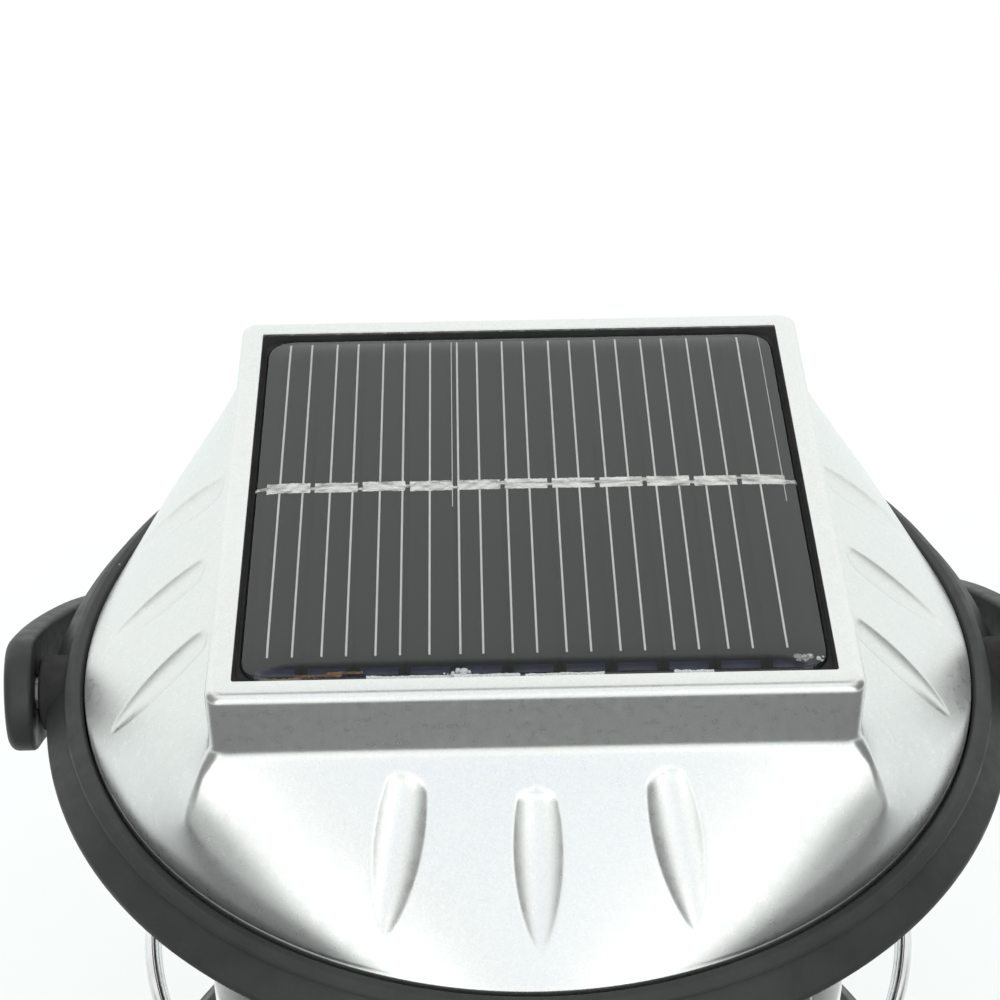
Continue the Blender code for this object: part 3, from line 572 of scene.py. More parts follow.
def amber_glue():
    """Brown flux and glue dried in thin threads."""
    finish = Finish("amber_glue", (0.3, 0.13, 0.04), 0.3)
    cloud = finish.spread(finish.noise(900.0, 4.0), 0.35, 0.65)
    finish.set("Base Color", finish.mix(cloud, (0.1, 0.045, 0.02), (0.42, 0.22, 0.09)))
    finish.bump(cloud, 0.00005, 0.6)
    return finish.material


def pale_floor():
    """Seamless white paper."""
    return mottled("pale_floor", (0.9, 0.91, 0.905), 0.9, Specular_IOR_Level=0.1,
                   tint=(12.0, 4.0, 0.3, 0.7, (0.84, 0.865, 0.858), (0.85, 0.875, 0.868)))


MATERIALS = {
    "silver_paint": silver_paint(),
    "black_plastic": black_plastic(),
    "black_rubber": black_rubber(),
    "chrome": chrome(),
    "steel": plated_steel(),
    "clear_plastic": clear_plastic(),
    "epoxy": resin(),
    "silicon": silicon(),
    "circuit_board": solder_mask(),
    "mirror_plastic": mirror_plastic(),
    "led_lens": lamp_lens(),
    "battery_sleeve": battery_sleeve(),
    "indicator_red": tinted_lens(),
}


def add(maker, name, *shape, slot, **options):
    """Call a shape function with the material of a record slot."""
    return maker(name, *shape, MATERIALS[slot], slot=slot, **options)


# ---------------------------------------------------------------- cap

def side_radius(angle, half, curvature):
    """Distance from the centre to one side, a line or an arc, at this angle from its middle."""
    flat = (1 - curvature * half) * math.cos(angle)
    reach = 2 * half - curvature * half ** 2
    return reach / (flat + math.sqrt(flat ** 2 + curvature * reach))


def bowed_radius(angle, half, curvature):
    """Like side_radius with the same corners, but flat in the middle and bent near the corners."""
    corner = side_radius(math.pi / 4, half, curvature) / math.sqrt(2)
    sag = half - corner
    radius = side_radius(angle, half, curvature)
    for _ in range(8):
        bend = sag * (radius * math.sin(angle) / corner) ** SIDE_BEND_POWER
        error = radius * math.cos(angle) + bend - half
        radius -= error / (math.cos(angle) + SIDE_BEND_POWER * bend / radius)
    return radius


def edge_radius(angle, half, curvature):
    """Bowed high on the skirt, turning into the plain arc of the round rim."""
    share = (curvature * RIM_RADIUS) ** 2
    if share <= 0 or share >= 1:
        return side_radius(angle, half, curvature)
    arc = side_radius(angle, half, curvature)
    return bowed_radius(angle, half, curvature) * (1 - share) + arc * share


def outline_radius(angle, half, curvature, blend):
    """Distance to a four-sided outline whose neighbouring sides blend over a short length."""
    folded = angle % (math.pi / 2)
    folded = min(folded, math.pi / 2 - folded)
    near = edge_radius(folded, half, curvature)
    if blend <= 0 or folded < math.pi / 6:
        return near
    far = edge_radius(math.pi / 2 - folded, half, curvature)
    overlap = max(blend - abs(near - far), 0.0) / blend
    return min(near, far) - overlap ** 2 * blend / 4


def cap_angles():
    """Angles round the cap, close together across the grooves and at the corners."""
    octant = []
    for first, last, steps in ((0.0, 26.0, 100), (26.0, 42.0, 26), (42.0, 45.0, 18)):
        octant += [first + (last - first) * step / steps for step in range(steps)]
    quarter = octant + [45.0] + [90.0 - angle for angle in reversed(octant[1:])]
    return [math.radians(angle + 90.0 * side) for side in range(4) for angle in quarter]


CAP_ANGLES = cap_angles()
PANEL_ANGLES = CAP_ANGLES[::4]


def section(half, curvature, blend, height, angles=CAP_ANGLES):
    """One row of points round a four-sided outline."""
    row = []
    for angle in angles:
        radius = outline_radius(angle, half, curvature, blend)
        row.append((radius * math.cos(angle), radius * math.sin(angle), height))
    return row


def circle_section(radius, height):
    """One round row of points."""
    return section(radius, 1 / radius, 0.0, height)


SKIRT_SLOPE = (TOP_Z - PLINTH_HEIGHT - RIM_Z) / (RIM_RADIUS - PLINTH_HALF)
SKIRT_NORMAL = Vector((SKIRT_SLOPE, 1.0)).normalized()


def skirt_height(half):
    """Height of the skirt at this distance from the middle of a side."""
    return TOP_Z - PLINTH_HEIGHT - (half - PLINTH_HALF) * SKIRT_SLOPE


def skirt_section(half, height, extra=0.0):
    """Skirt row: its sides grow rounder and its ridges softer, in degrees, towards the rim."""
    along = min(max((half - PLINTH_HALF) / (RIM_RADIUS - PLINTH_HALF), 0.0), 1.0)
    curvature = along ** CURVE_GROWTH / RIM_RADIUS
    crisp = RIDGE_SOFT_TOP - (RIDGE_SOFT_TOP - RIDGE_SOFT) * min(along / 0.12, 1.0)
    soft = math.radians(crisp + min(20.0 * max(along - RIDGE_FADE_START, 0.0), RIDGE_SOFT_FADE))
    beyond = edge_radius(math.pi / 4 + soft, half, curvature)
    blend = beyond - edge_radius(math.pi / 4 - soft, half, curvature)
    return section(half, curvature, max(blend, 0.0) + extra, height)


GROOVES = (((0.0, 36.2), (0.0, 48.2)), ((-13.0, 35.0), (-15.7, 46.3)), ((13.0, 35.0), (15.7, 46.3)))
GROOVE_HALF_WIDTH = 2.6
GROOVE_DEPTH = 0.52


def groove_width(along):
    """Share of the full width: blunt at the top, running out to a rounded point."""
    opening = min(along / 0.07, 1.0)
    return math.sin(math.pi * (0.2 + 0.8 * along)) ** 0.6 * math.sqrt(1 - (1 - opening) ** 2)


def groove_depth(across, outward):
    """How deep the scoops are at a point of one side."""
    for (a0, o0), (a1, o1) in GROOVES:
        axis = Vector((a1 - a0, o1 - o0))
        offset = Vector((across - a0, outward - o0))
        along = offset.dot(axis) / axis.length_squared
        if not 0.0 < along < 1.0:
            continue
        aside = abs(offset.cross(axis)) / axis.length
        share = groove_width(along)
        width = GROOVE_HALF_WIDTH * share
        if aside < width:
            return GROOVE_DEPTH * share ** 1.3 * (1 - (aside / width) ** 2)
    return 0.0


def scooped(row):
    """The row pressed in along the skirt's normal where the grooves are."""
    pressed = []
    for x, y, z in row:
        side = round(math.atan2(y, x) / (math.pi / 2))
        turn = Matrix.Rotation(-side * math.pi / 2, 2)
        outward, across = turn @ Vector((x, y))
        depth = groove_depth(across, outward)
        if depth > 0:
            inward = Matrix.Rotation(side * math.pi / 2, 2) @ Vector((SKIRT_NORMAL.x * depth, 0.0))
            x, y, z = x - inward.x, y - inward.y, z - SKIRT_NORMAL.y * depth
        pressed.append((x, y, z))
    return pressed


def cap_rows():
    """Rows of the cap's skin, from the pocket's floor up over the frame, down the skirt and back inside."""
    pocket_floor = TOP_Z - 4.9
    wall = PLINTH_HALF
    base = TOP_Z - PLINTH_HEIGHT
    foot = wall + 1.3
    frame_path = rounded([
        (POCKET_HALF, pocket_floor),
        (POCKET_HALF, TOP_Z, 0.12),
        (wall, TOP_Z, PLINTH_EDGE),
        (wall, base, 1.7),
        (foot, skirt_height(foot)),
    ], closed=False, steps=7)
    rows = []
    for half, height in frame_path:
        if half > wall:
            rows.append(skirt_section(half, height))
        else:
            rows.append(section(half, 0.0, 0.5 if half < POCKET_HALF + 0.2 else PLINTH_BLEND, height))
    steps = 66
    for step in range(1, steps + 1):
        half = foot + (RIM_RADIUS - 0.4 - foot) * step / steps
        rows.append(scooped(skirt_section(half, skirt_height(half))))
    lip_z = CAP_LOW.z
    inside = RIM_RADIUS - CAP_WALL
    edge = rounded([(RIM_RADIUS - 0.7, skirt_height(RIM_RADIUS - 0.7)), (RIM_RADIUS, RIM_Z, 0.35),
                    (RIM_RADIUS, lip_z)], closed=False, steps=4)[1:]
    rows += [circle_section(radius, height) for radius, height in edge]
    rows.append(circle_section(inside, lip_z))
    drop = CAP_WALL / SKIRT_NORMAL.y
    rows.append(circle_section(inside, skirt_height(inside) - drop))
    for half in (44.0, 39.0, 34.4):
        rows.append(skirt_section(half, skirt_height(half) - drop, 3.0))
    inner_wall = POCKET_HALF + 0.2
    rows.append(section(inner_wall, 0.0, PLINTH_BLEND, base - drop))
    rows.append(section(inner_wall, 0.0, PLINTH_BLEND, pocket_floor - 1.8))
    rows.append(circle_section(12.0, pocket_floor - 1.8))
    rows.append(circle_section(12.0, pocket_floor))
    return rows


def make_cap():
    verts, faces = loft(cap_rows(), closed=True)
    add(place, "cap_shell", verts, faces, slot="silver_paint", replaces=["top_cap"], sharp=50.0)


# ---------------------------------------------------------------- solar panel

def resin_rows():
    """Rows of the resin block: flat underneath, upright side, small edge, then a soft shoulder."""
    low = span("panel_board")[1].z + 0.05
    top = RESIN_HIGH.z
    shoulder = 4.2
    sag = 0.5
    crown = 0.06             # of the flat part's middle over its border
    edge = 0.5
    half = RESIN_HALF
    corner = 5.0
    profile = [(0.001, low), (half * 0.5, low), (half, low), (half, top - sag - edge)]
    for step in range(1, 7):
        angle = math.pi / 2 * step / 6
        profile.append((half - edge * (1 - math.cos(angle)), top - sag - edge * (1 - math.sin(angle))))
    for step in range(1, 15):
        inset = edge + (shoulder - edge) * step / 14
        left = 1 - (inset - edge) / (shoulder - edge)
        profile.append((half - inset, top - crown - (sag - crown) * left ** 2))
    flat = half - shoulder
    for step in range(1, 7):
        share = 1 - step / 6
        profile.append((max(flat * share, 0.001), top - crown * share ** 2))
    rows = []
    for reach, height in profile:
        rows.append(section(reach, 0.0, corner * min(reach / half, 1.0) ** 2, height, PANEL_ANGLES))
    return rows


def make_resin():
    rows = resin_rows()
    verts, faces = loft(rows, closed=False)
    count = len(rows[0])
    faces.append(tuple(reversed(range(count))))
    faces.append(tuple(range(len(verts) - count, len(verts))))
    faces = [tuple(reversed(face)) for face in faces]
    add(place, "resin_block", verts, faces, slot="epoxy", replaces=["epoxy_cover"], sharp=60.0)


def strip_centre(index):
    return (index - (len(STRIP_NAMES) - 1) / 2) * STRIP_PITCH


def line_offsets(index):
    """Where the wafer's printed lines cross one strip, from its middle."""
    first = LINE_PHASE + LINE_DRIFT * index
    if index == len(STRIP_NAMES) - 1:
        first += LAST_STRIP_SHIFT
    lines = [first + LINE_PITCH * step for step in range(-2, 3)]
    return [max(line, 0.15 - STRIP_HALF) for line in lines if abs(line) < STRIP_HALF + 0.03]


def make_strips():
    """Silicon strips with their printed lines lying on them."""
    top = RESIN_HIGH.z - STRIP_DEPTH
    silver = printed_silver()
    edges = blue_edge()
    for index, node in enumerate(STRIP_NAMES):
        x = strip_centre(index)
        low = (x - STRIP_HALF, STRIP_FRONT, top - 0.2)
        high = (x + STRIP_HALF, STRIP_BACK, top)
        number = f"{index + 1:02d}"
        add(box_piece, f"silicon_strip_{number}", low, high, slot="silicon", replaces=[node], bevel=0.02)
        low = (x - STRIP_HALF * 0.85, STRIP_FRONT - 0.2, top + 0.005)
        high = (x + STRIP_HALF * 0.8, STRIP_FRONT + 0.9, top + 0.03)
        box_piece(f"blue_edge_{number}", low, high, edges, slot="silicon", bevel=0.008)
        for line, offset in enumerate(line_offsets(index)):
            clipped = offset > STRIP_HALF - 0.3
            half = LINE_WIDTH * (0.2 if clipped else 0.5)
            front = LINE_FRONT + (24.0 if clipped else 0.0)
            low = (x + offset - half, front, top + 0.005)
            high = (x + offset + half, STRIP_BACK - 0.1, top + 0.03)
            box_piece(f"line_{number}_{line + 1}", low, high, silver, slot="silicon", bevel=0.008)


def make_backing():
    """Black film under and between the strips."""
    low = (-RESIN_HALF + 0.4, -RESIN_HALF + 0.4, span("panel_board")[1].z + 0.1)
    high = (RESIN_HALF - 0.4, RESIN_HALF - 0.4, RESIN_HIGH.z - STRIP_DEPTH - 0.02)
    box_piece("backing_film", low, high, backing_film(), slot="circuit_board", bevel=0.05)


def ribbon_verts(rng, x0, x1, y_middle, half, height):
    """A thin wrinkled strip of foil, as a closed skin."""
    columns = 28
    rows = 7
    ripple = [rng.uniform(-1, 1) for _ in range(12)]
    edge = [rng.uniform(-0.05, 0.05) for _ in range(2 * columns + 2)]
    tilt = rng.uniform(-0.05, 0.05)
    top = []
    for column in range(columns + 1):
        u = column / columns
        for row in range(rows + 1):
            v = row / rows * 2 - 1
            ragged = edge[column * 2 + (v > 0)] * abs(v) ** 6
            x = x0 + (x1 - x0) * u + 0.04 * ripple[row] * (abs(2 * u - 1) ** 8)
            y = y_middle + half * v + ragged + tilt * (u - 0.5) * 2
            wave = 0.03 * math.sin(9 * u + 3 * ripple[0] + 2 * v)
            wave += 0.025 * math.sin(23 * u * ripple[1] - 4 * v)
            fold = 0.05 * max(0.0, 1 - abs(v - 0.5 * ripple[2]) * 5) * (u > 0.25 + 0.2 * ripple[3])
            top.append((x, y, height + 0.06 + wave + fold))
    bottom = [(x, y, height + 0.004) for x, y, _ in top]
    stride = rows + 1
    total = len(top)
    grid = grid_faces(columns, rows)
    faces = [(a, d, c, b) for a, b, c, d in grid]
    faces += [tuple(corner + total for corner in face) for face in grid]
    border = [column * stride for column in range(columns + 1)]
    border += [columns * stride + row for row in range(1, rows + 1)]
    border += [column * stride + rows for column in range(columns - 1, -1, -1)]
    border += list(range(rows - 1, 0, -1))
    for first, second in zip(border, border[1:] + border[:1]):
        faces.append((first, first + total, second + total, second))
    return top + bottom, faces


def make_ribbons():
    """Tinned foil across the strips, with a thin bridge over each gap and a tail at both ends."""
    rng = random.Random(11)
    foil = tinned_ribbon()
    height = RESIN_HIGH.z - STRIP_DEPTH + 0.035
    last = len(STRIP_NAMES) - 1
    for index in range(last + 1):
        x = strip_centre(index)
        y = RIBBON_Y + rng.uniform(-0.08, 0.08)
        reach = STRIP_HALF - 0.04
        verts, faces = ribbon_verts(rng, x - reach, x + reach, y, RIBBON_HALF, height)
        place(f"ribbon_{index + 1:02d}", verts, faces, foil, slot="silicon", sharp=30.0)
    for index in range(last + 2):
        x = strip_centre(index) - STRIP_PITCH / 2
        y = RIBBON_Y + rng.uniform(-0.45, 0.45)
        half = rng.uniform(0.18, 0.32)
        x0, x1 = x - 0.45, x + 0.45
        if index == 0:
            x0 = x - 1.1
        if index == last + 1:
            x1 = x + 1.2
            half = 0.3
        verts, faces = ribbon_verts(rng, x0, x1, y, half, height + 0.01)
        place(f"bridge_{index + 1:02d}", verts, faces, foil, slot="silicon", sharp=30.0)


def make_glue():
    """Crumbs of glue caught between the resin and the frame."""
    rng = random.Random(5)
    material = glue()
    spots = (((-7.4, -29.6), 1.5, 9), ((27.6, -28.3), 1.4, 8), ((29.0, -28.4), 0.9, 7),
             ((-8.9, -29.8), 0.7, 5))
    for number, ((x, y), size, lumps) in enumerate(spots):
        bm = bmesh.new()
        for _ in range(lumps):
            centre = (x + rng.uniform(-size, size) * 0.6, y + rng.uniform(-size, size) * 0.35,
                      RESIN_HIGH.z - 0.45 + rng.uniform(-0.2, 0.15))
            radius = rng.uniform(0.18, 0.42) * size * 0.7
            stretch = Matrix.Diagonal((rng.uniform(0.7, 1.5), rng.uniform(0.6, 1.1),
                                       rng.uniform(0.4, 0.8), 1))
            turn = Matrix.Rotation(rng.uniform(0, 3), 4, "Z")
            bmesh.ops.create_icosphere(bm, subdivisions=2, radius=radius,
                                       matrix=Matrix.Translation(centre) @ turn @ stretch)
        for vert in bm.verts:
            vert.co.x += rng.uniform(-0.035, 0.035)
            vert.co.y += rng.uniform(-0.035, 0.035)
        place(f"glue_crumb_{number + 1}", *taken(bm), material, slot="epoxy", sharp=25.0)
    height = TOP_Z - 0.24
    amber = amber_glue()
    smears = ((-17.0, -8.6, 0.2), (-8.2, -1.5, 0.26), (-1.0, 7.0, 0.2), (14.0, 18.0, 0.22))
    for number, (x0, x1, half) in enumerate(smears):
        verts, faces = ribbon_verts(rng, x0, x1, -POCKET_HALF + 0.3, half, height)
        place(f"glue_smear_{number + 1}", verts, faces, material, slot="epoxy", sharp=25.0)
    for number, (x0, x1) in enumerate(((-28.0, -23.6), (-24.4, -19.5), (-21.0, -17.4))):
        y = -POCKET_HALF + 1.2 + 0.35 * number
        verts, faces = ribbon_verts(rng, x0, x1, y, 0.16, height - 1.0)
        place(f"amber_smear_{number + 1}", verts, faces, amber, slot="epoxy", sharp=25.0)


def make_gap_shade_bead():
    """Black ring round the panel in the gap to the frame: a dark sheet standing for the shadow of the pocket's
    wall, painted shade.
    """
    low = span("panel_board")[1].z + 0.1
    inner = RESIN_HALF + 0.02
    outer = POCKET_HALF - 0.02
    outside = TOP_Z - 0.35
    inside = TOP_Z - 1.0
    rows = [section(outer, 0.0, 0.5, outside, PANEL_ANGLES), section(outer, 0.0, 0.5, low, PANEL_ANGLES),
            section(inner, 0.0, 5.0, low, PANEL_ANGLES), section(inner, 0.0, 5.0, inside, PANEL_ANGLES),
            section((inner + outer) / 2, 0.0, 3.0, inside - 0.1, PANEL_ANGLES)]
    verts, faces = loft(rows, closed=True)
    faces = [tuple(reversed(face)) for face in faces]
    # Black ring in the gap stands in for the pocket wall's shadow: painted shade.
    place("gap_shade_bead", verts, faces, MATERIALS["black_rubber"], slot="black_rubber")


# ---------------------------------------------------------------- rings

def ring_profile():
    """Upper ring: bead, groove, sloped band with a soft lower edge, plate, collar and flange."""
    foot = RING_LOW.z
    plate = foot + 2.2
    globe = span("globe")[1].x
    collar = globe + 0.7
    flange_low = foot + 3.2
    shelf = CAP_LOW.z - 1.2
    return [
        (RING_BORE, RIM_Z - 0.55, 0.2),
        (RING_BORE + 0.35, RIM_Z - 0.05, 0.3),
        (RING_BORE + 1.2, RIM_Z, 0.5),
        (53.3, RIM_Z - 0.5, 0.3),
        (53.48, RIM_Z - 0.95, 0.12),
        (53.1, RIM_Z - 1.2, 0.12),
        (53.35, RIM_Z - 1.45, 0.1),
        (RING_BAND - 0.02, RIM_Z - 3.9, 0.6),
        (RING_BAND - 0.02, RIM_Z - 4.8, 0.5),
        (55.0, RIM_Z - 5.5, 0.3),
        (52.0, foot, 0.4),
        (collar, foot, 0.3),
        (collar, flange_low, 0.1),
        (34.0, flange_low, 0.2),
        (34.0, flange_low + 2.0, 0.2),
        (collar + 2.0, flange_low + 2.0, 0.2),
        (collar + 2.0, plate, 0.2),
        (50.0, plate, 0.1),
        (50.0, shelf, 0.1),
        (RING_BORE, shelf, 0.1),
    ]


def mirrored(points):
    """The same profile upside down about the guard's middle."""
    return [(point[0], 2 * GUARD_MID_Z - point[1], *point[2:]) for point in reversed(points)]


def make_rings():
    profile = ring_profile()
    add(turned, "head_ring", profile, slot="black_plastic", steps=240, replaces=["upper_ring"])
    add(turned, "globe_ring", mirrored(profile), slot="black_plastic", steps=240, replaces=["lower_ring"])
    face = span("upper_ring")[1].x
    boss = [(0, face), (3.2, face, 0.1), (3.4, face - 0.25, 0.1), (4.4, face - 0.25, 0.3), (4.4, 52.0),
            (0, 52.0)]
    for side, turn in SIDES:
        add(turned, f"pivot_boss_{side}", boss, slot="black_rubber", steps=64, matrix=facing_side(turn))


# ---------------------------------------------------------------- handle

def grip_share(angle):
    """0 at the handle's ears, 1 along its grip; the angle is from the nearer end."""
    return smooth(min(max((math.degrees(angle) - GRIP_START) / GRIP_BLEND, 0.0), 1.0))


def handle_outline(inset):
    """(arc length, half width) from one round end to the other, drawn in by a chamfer."""
    ear = HANDLE_EAR_HALF - inset
    narrow = HANDLE_EAR_HALF - HANDLE_GRIP_HALF
    total = math.pi * HANDLE_RADIUS
    outline = []
    for step in range(15):
        angle = math.pi / 2 * step / 14
        outline.append((-ear * math.cos(angle), max(ear * math.sin(angle), 0.02)))
    stations = 60
    for step in range(1, stations + 1):
        length = total / 2 * step / stations
        outline.append((length, ear - narrow * grip_share(length / HANDLE_RADIUS)))
    mirror = [(total - length, width) for length, width in reversed(outline[:-1])]
    return outline + mirror


def handle_layer(inset, depth, outer):
    """Points of one layer, this deep under the bar's outer or inner face."""
    thin = HANDLE_EAR_THICKNESS - HANDLE_GRIP_THICKNESS
    upper = []
    for length, width in handle_outline(inset):
        angle = length / HANDLE_RADIUS
        thickness = HANDLE_EAR_THICKNESS - thin * grip_share(min(angle, math.pi - angle))
        radius = HANDLE_RADIUS - (depth if outer else thickness - depth)
        upper.append((radius * math.cos(angle), radius * math.sin(angle), width))
    lower = [(x, y, -z) for x, y, z in reversed(upper)]
    return upper + lower


def make_handle():
    """Bail with rounded edges, drooping to the back, its ears bored and sunk for the pivot screws."""
    rows = []
    steps = 5
    for outer in (False, True):
        edge = HANDLE_OUTER_EDGE if outer else HANDLE_INNER_EDGE
        for step in range(steps + 1):
            angle = math.pi / 2 * (steps - step if outer else step) / steps
            rows.append(handle_layer(edge * (1 - math.sin(angle)), edge * (1 - math.cos(angle)), outer))
    verts, faces = loft(rows, closed=False)
    count = len(rows[0])
    half = count // 2
    last = (len(rows) - 1) * count
    for step in range(half - 1):
        a, b = step, step + 1
        c, d = count - 2 - step, count - 1 - step
        faces.append((a, b, c, d))
        faces.append((last + d, last + c, last + b, last + a))
    bail = add(place, "handle_bail", verts, faces, slot="black_plastic", body="handle", replaces=["handle"],
               sharp=32.0)
    for _, turn in SIDES:
        across = Matrix.Rotation(turn, 4, "Y")
        hole = cutting_cylinder(2.25, 40.0, 70.0, across)
        sinking = cutting_cylinder(4.0, HANDLE_SINKING, 70.0, across)
        carve(bail, hole)
        carve(bail, sinking)
    droop = Matrix.Rotation(-HANDLE_DROOP, 4, "X")
    bail.data.transform(Matrix.Translation(PIVOT * MM) @ droop)


# ---------------------------------------------------------------- screws

def make_screw(name, node, head_radius, shank_radius, head_height, length, matrix):
    """Pan-head screw with a cross recess. It is drawn head up with the head's seat at zero."""
    profile = [(0, head_height), (head_radius * 0.75, head_height * 0.92, head_height * 0.4),
               (head_radius, 0.1, 0.1), (head_radius, 0), (shank_radius, 0, 0.1),
               (shank_radius, -length + 1.0), (shank_radius * 0.3, -length), (0, -length)]
    screw = add(turned, name, profile, slot="steel", steps=48, replaces=[node])
    arm = head_radius * 0.62
    slot_half = head_radius * 0.13
    depth = head_height * 0.35
    first = cutting_box((-arm, -slot_half, depth), (arm, slot_half, head_height + 1))
    second = cutting_box((-slot_half, -arm, depth), (slot_half, arm, head_height + 1))
    carve(screw, first, second)
    screw.data.transform(matrix)


def make_screws():
    seat = span("pivot_screw_right")[1].x - 1.0
    for side, turn in SIDES:
        make_screw(f"pivot_screw_head_{side}", f"pivot_screw_{side}", 3.6, 1.9, 1.0, 6.4,
                   facing_side(turn, seat))
    upside_down = Matrix.Rotation(math.pi, 4, "X")
    for node in BASE_SCREWS:
        low, high = span(node)
        matrix = upright(node, low.z + 1.8) @ upside_down
        make_screw(f"{node}_fine", node, 2.8, 1.4, 1.7, high.z - low.z - 1.8, matrix)
    low, high = span("door_screw")
    matrix = upright("door_screw", low.z + 1.0) @ upside_down
    make_screw("door_screw_fine", "door_screw", 2.6, 1.2, 0.95, high.z - low.z - 1.0, matrix)


# ---------------------------------------------------------------- globe, guard and lamps

def make_globe():
    low, high = span("globe")
    radius = high.x
    inside = radius - 2.4
    profile = [(inside, high.z, 0.5), (radius, high.z, 0.6), (radius, low.z, 0.6), (inside, low.z, 0.5)]
    add(turned, "globe_tube", profile, slot="clear_plastic", steps=200, replaces=["globe"])
    for name in ("globe_seal_upper", "globe_seal_lower"):
        seal = tube(name, radius, inside, 0.1)
        add(turned, f"{name}_ring", seal, slot="black_rubber", replaces=[name])


def make_guard():
    """Round wire hoop and the upright rods, almost touching where they are welded."""
    low, high = span("guard_hoop")
    wire = (high.z - low.z) / 2
    hoop_radius = high.x - wire
    hoop_z = (high.z + low.z) / 2
    circle = []
    for step in range(20):
        angle = -2 * math.pi * step / 20 + math.pi / 2
        circle.append((hoop_radius + wire * math.cos(angle), hoop_z + wire * math.sin(angle)))
    verts, faces = revolve(circle, 240)
    add(place, "hoop_wire", verts, faces, slot="chrome", replaces=["guard_hoop"])
    for index in range(4):
        node = f"guard_rod_{index + 1}"
        low, high = span(node)
        centre = Vector((middle(node).x, middle(node).y, 0.0))
        matrix = Matrix.Translation((centre - 0.12 * centre.normalized()) * MM)
        rod = disc((high.y - low.y) / 2 + 0.01, low.z, high.z, 0.3)
        add(turned, f"rod_wire_{index + 1}", rod, slot="chrome", steps=24, replaces=[node], matrix=matrix)


def make_lamps():
    """Reflector disc, lamp board with its lamps, flared mirror cone and wiring column."""
    low, high = span("reflector_disc")
    add(turned, "ceiling_reflector", disc(high.x, low.z, high.z, 0.3), slot="mirror_plastic", steps=160,
        replaces=["reflector_disc"])
    low, high = span("led_board")
    add(turned, "lamp_board", disc(high.x, low.z, high.z, 0.1), slot="circuit_board", steps=96,
        replaces=["led_board"])
    for index in range(6):
        node = f"led_{index + 1}"
        low, high = span(node)
        top = high.z
        lamp = [(0, top), (2.9, top, 0.1), (2.9, top - 1.0, 0.1), (2.5, top - 1.0, 0.05), (2.5, low.z, 2.4),
                (0, low.z)]
        add(turned, f"lamp_{index + 1}", lamp, slot="led_lens", steps=40, fine=10, replaces=[node],
            matrix=upright(node))
    low, high = span("reflector_cone")
    neck = 6.0
    wall = 1.4
    rise = high.z - low.z - wall
    outside = []
    for step in range(41):
        along = (step / 40) ** 1.2
        outside.append((neck + (high.x - neck) * along, low.z + wall + rise * (1 - along) ** 2.2))
    inside = [(radius - 0.4, height - wall) for radius, height in reversed(outside[:-1])]
    add(turned, "mirror_cone", outside + [(high.x, low.z)] + inside, slot="mirror_plastic", steps=200,
        replaces=["reflector_cone"])
    column = tube("wiring_column", 4.0, 3.0, 0.2)
    add(turned, "centre_tube", column, slot="mirror_plastic", steps=48, replaces=["wiring_column"])


# ---------------------------------------------------------------- body and base

def make_body():
    """Barrel body with openings for the button's bezel and the indicator."""
    low, high = span("body_shell")
    shoulder = 2 * GUARD_MID_Z - RIM_Z
    bulge_radius = high.y
    bulge_z = 44.5
    drawn_in = 2.3           # this much narrower at the next distance from the bulge
    drawn_in_at = 28.0
    steps = 30
    outside = []
    for step in range(steps + 1):
        height = shoulder - 0.6 - step * (shoulder - 0.6 - low.z) / steps
        outside.append((bulge_radius - drawn_in * ((height - bulge_z) / drawn_in_at) ** 2, height))
    inside = [(radius - 2.0, height) for radius, height in reversed(outside)]
    lip = RIM_RADIUS - CAP_WALL
    inside[-1] = (lip, outside[0][1])
    rim = [(lip, high.z, 0.3), (RIM_RADIUS, high.z, 0.3), (RIM_RADIUS, shoulder)]
    body = add(turned, "body_barrel", rim + outside + inside, slot="silver_paint", steps=240,
               replaces=["body_shell"])
    holes = (("button_bezel", 9.9), ("charge_indicator", 2.25))
    carve(body, *[cutting_cylinder(radius, 44.0, 60.0, facing_front(node)) for node, radius in holes])


def make_controls():
    """Bezel, domed rubber button with a ring of grip ridges, and the indicator's lens."""
    low, high = span("button_bezel")
    front, back = -low.y, -high.y
    flange = (high.x - low.x) / 2
    bezel = [(7.3, front - 0.5, 0.2), (7.9, front, 0.3), (flange - 0.9, front, 0.5),
             (flange, front - 0.7, 0.3), (flange, front - 1.2, 0.1), (9.6, front - 1.2, 0.1),
             (9.6, back, 0.1), (7.3, back, 0.1)]
    matrix = facing_front("button_bezel")
    add(turned, "bezel_ring", bezel, slot="black_plastic", steps=96, matrix=matrix,
        replaces=["button_bezel"])
    low, high = span("power_button")
    front, back = -low.y, -high.y
    ridge = 0.25
    button = [(0, front), (2.2, front - 0.05, 0.1)]
    for radius in (2.5, 3.6, 4.7):
        button += [(radius, front - ridge, 0.12), (radius + 0.3, front - ridge, 0.12),
                   (radius + 0.5, front - 0.08, 0.12), (radius + 0.8, front - 0.08, 0.12)]
    button += [(6.9, front - 0.9, 0.8), (6.9, back, 0.1), (0, back)]
    add(turned, "button_cap", button, slot="black_rubber", steps=96, body="button", matrix=matrix,
        replaces=["power_button"])
    low, high = span("charge_indicator")
    front, back = -low.y, -high.y
    lens = [(0, front), (1.9, front - 0.5, 1.2), (2.0, front - 1.9, 0.3), (2.0, back), (0, back)]
    add(turned, "indicator_lens", lens, slot="indicator_red", steps=40, fine=6,
        matrix=facing_front("charge_indicator"), replaces=["charge_indicator"])


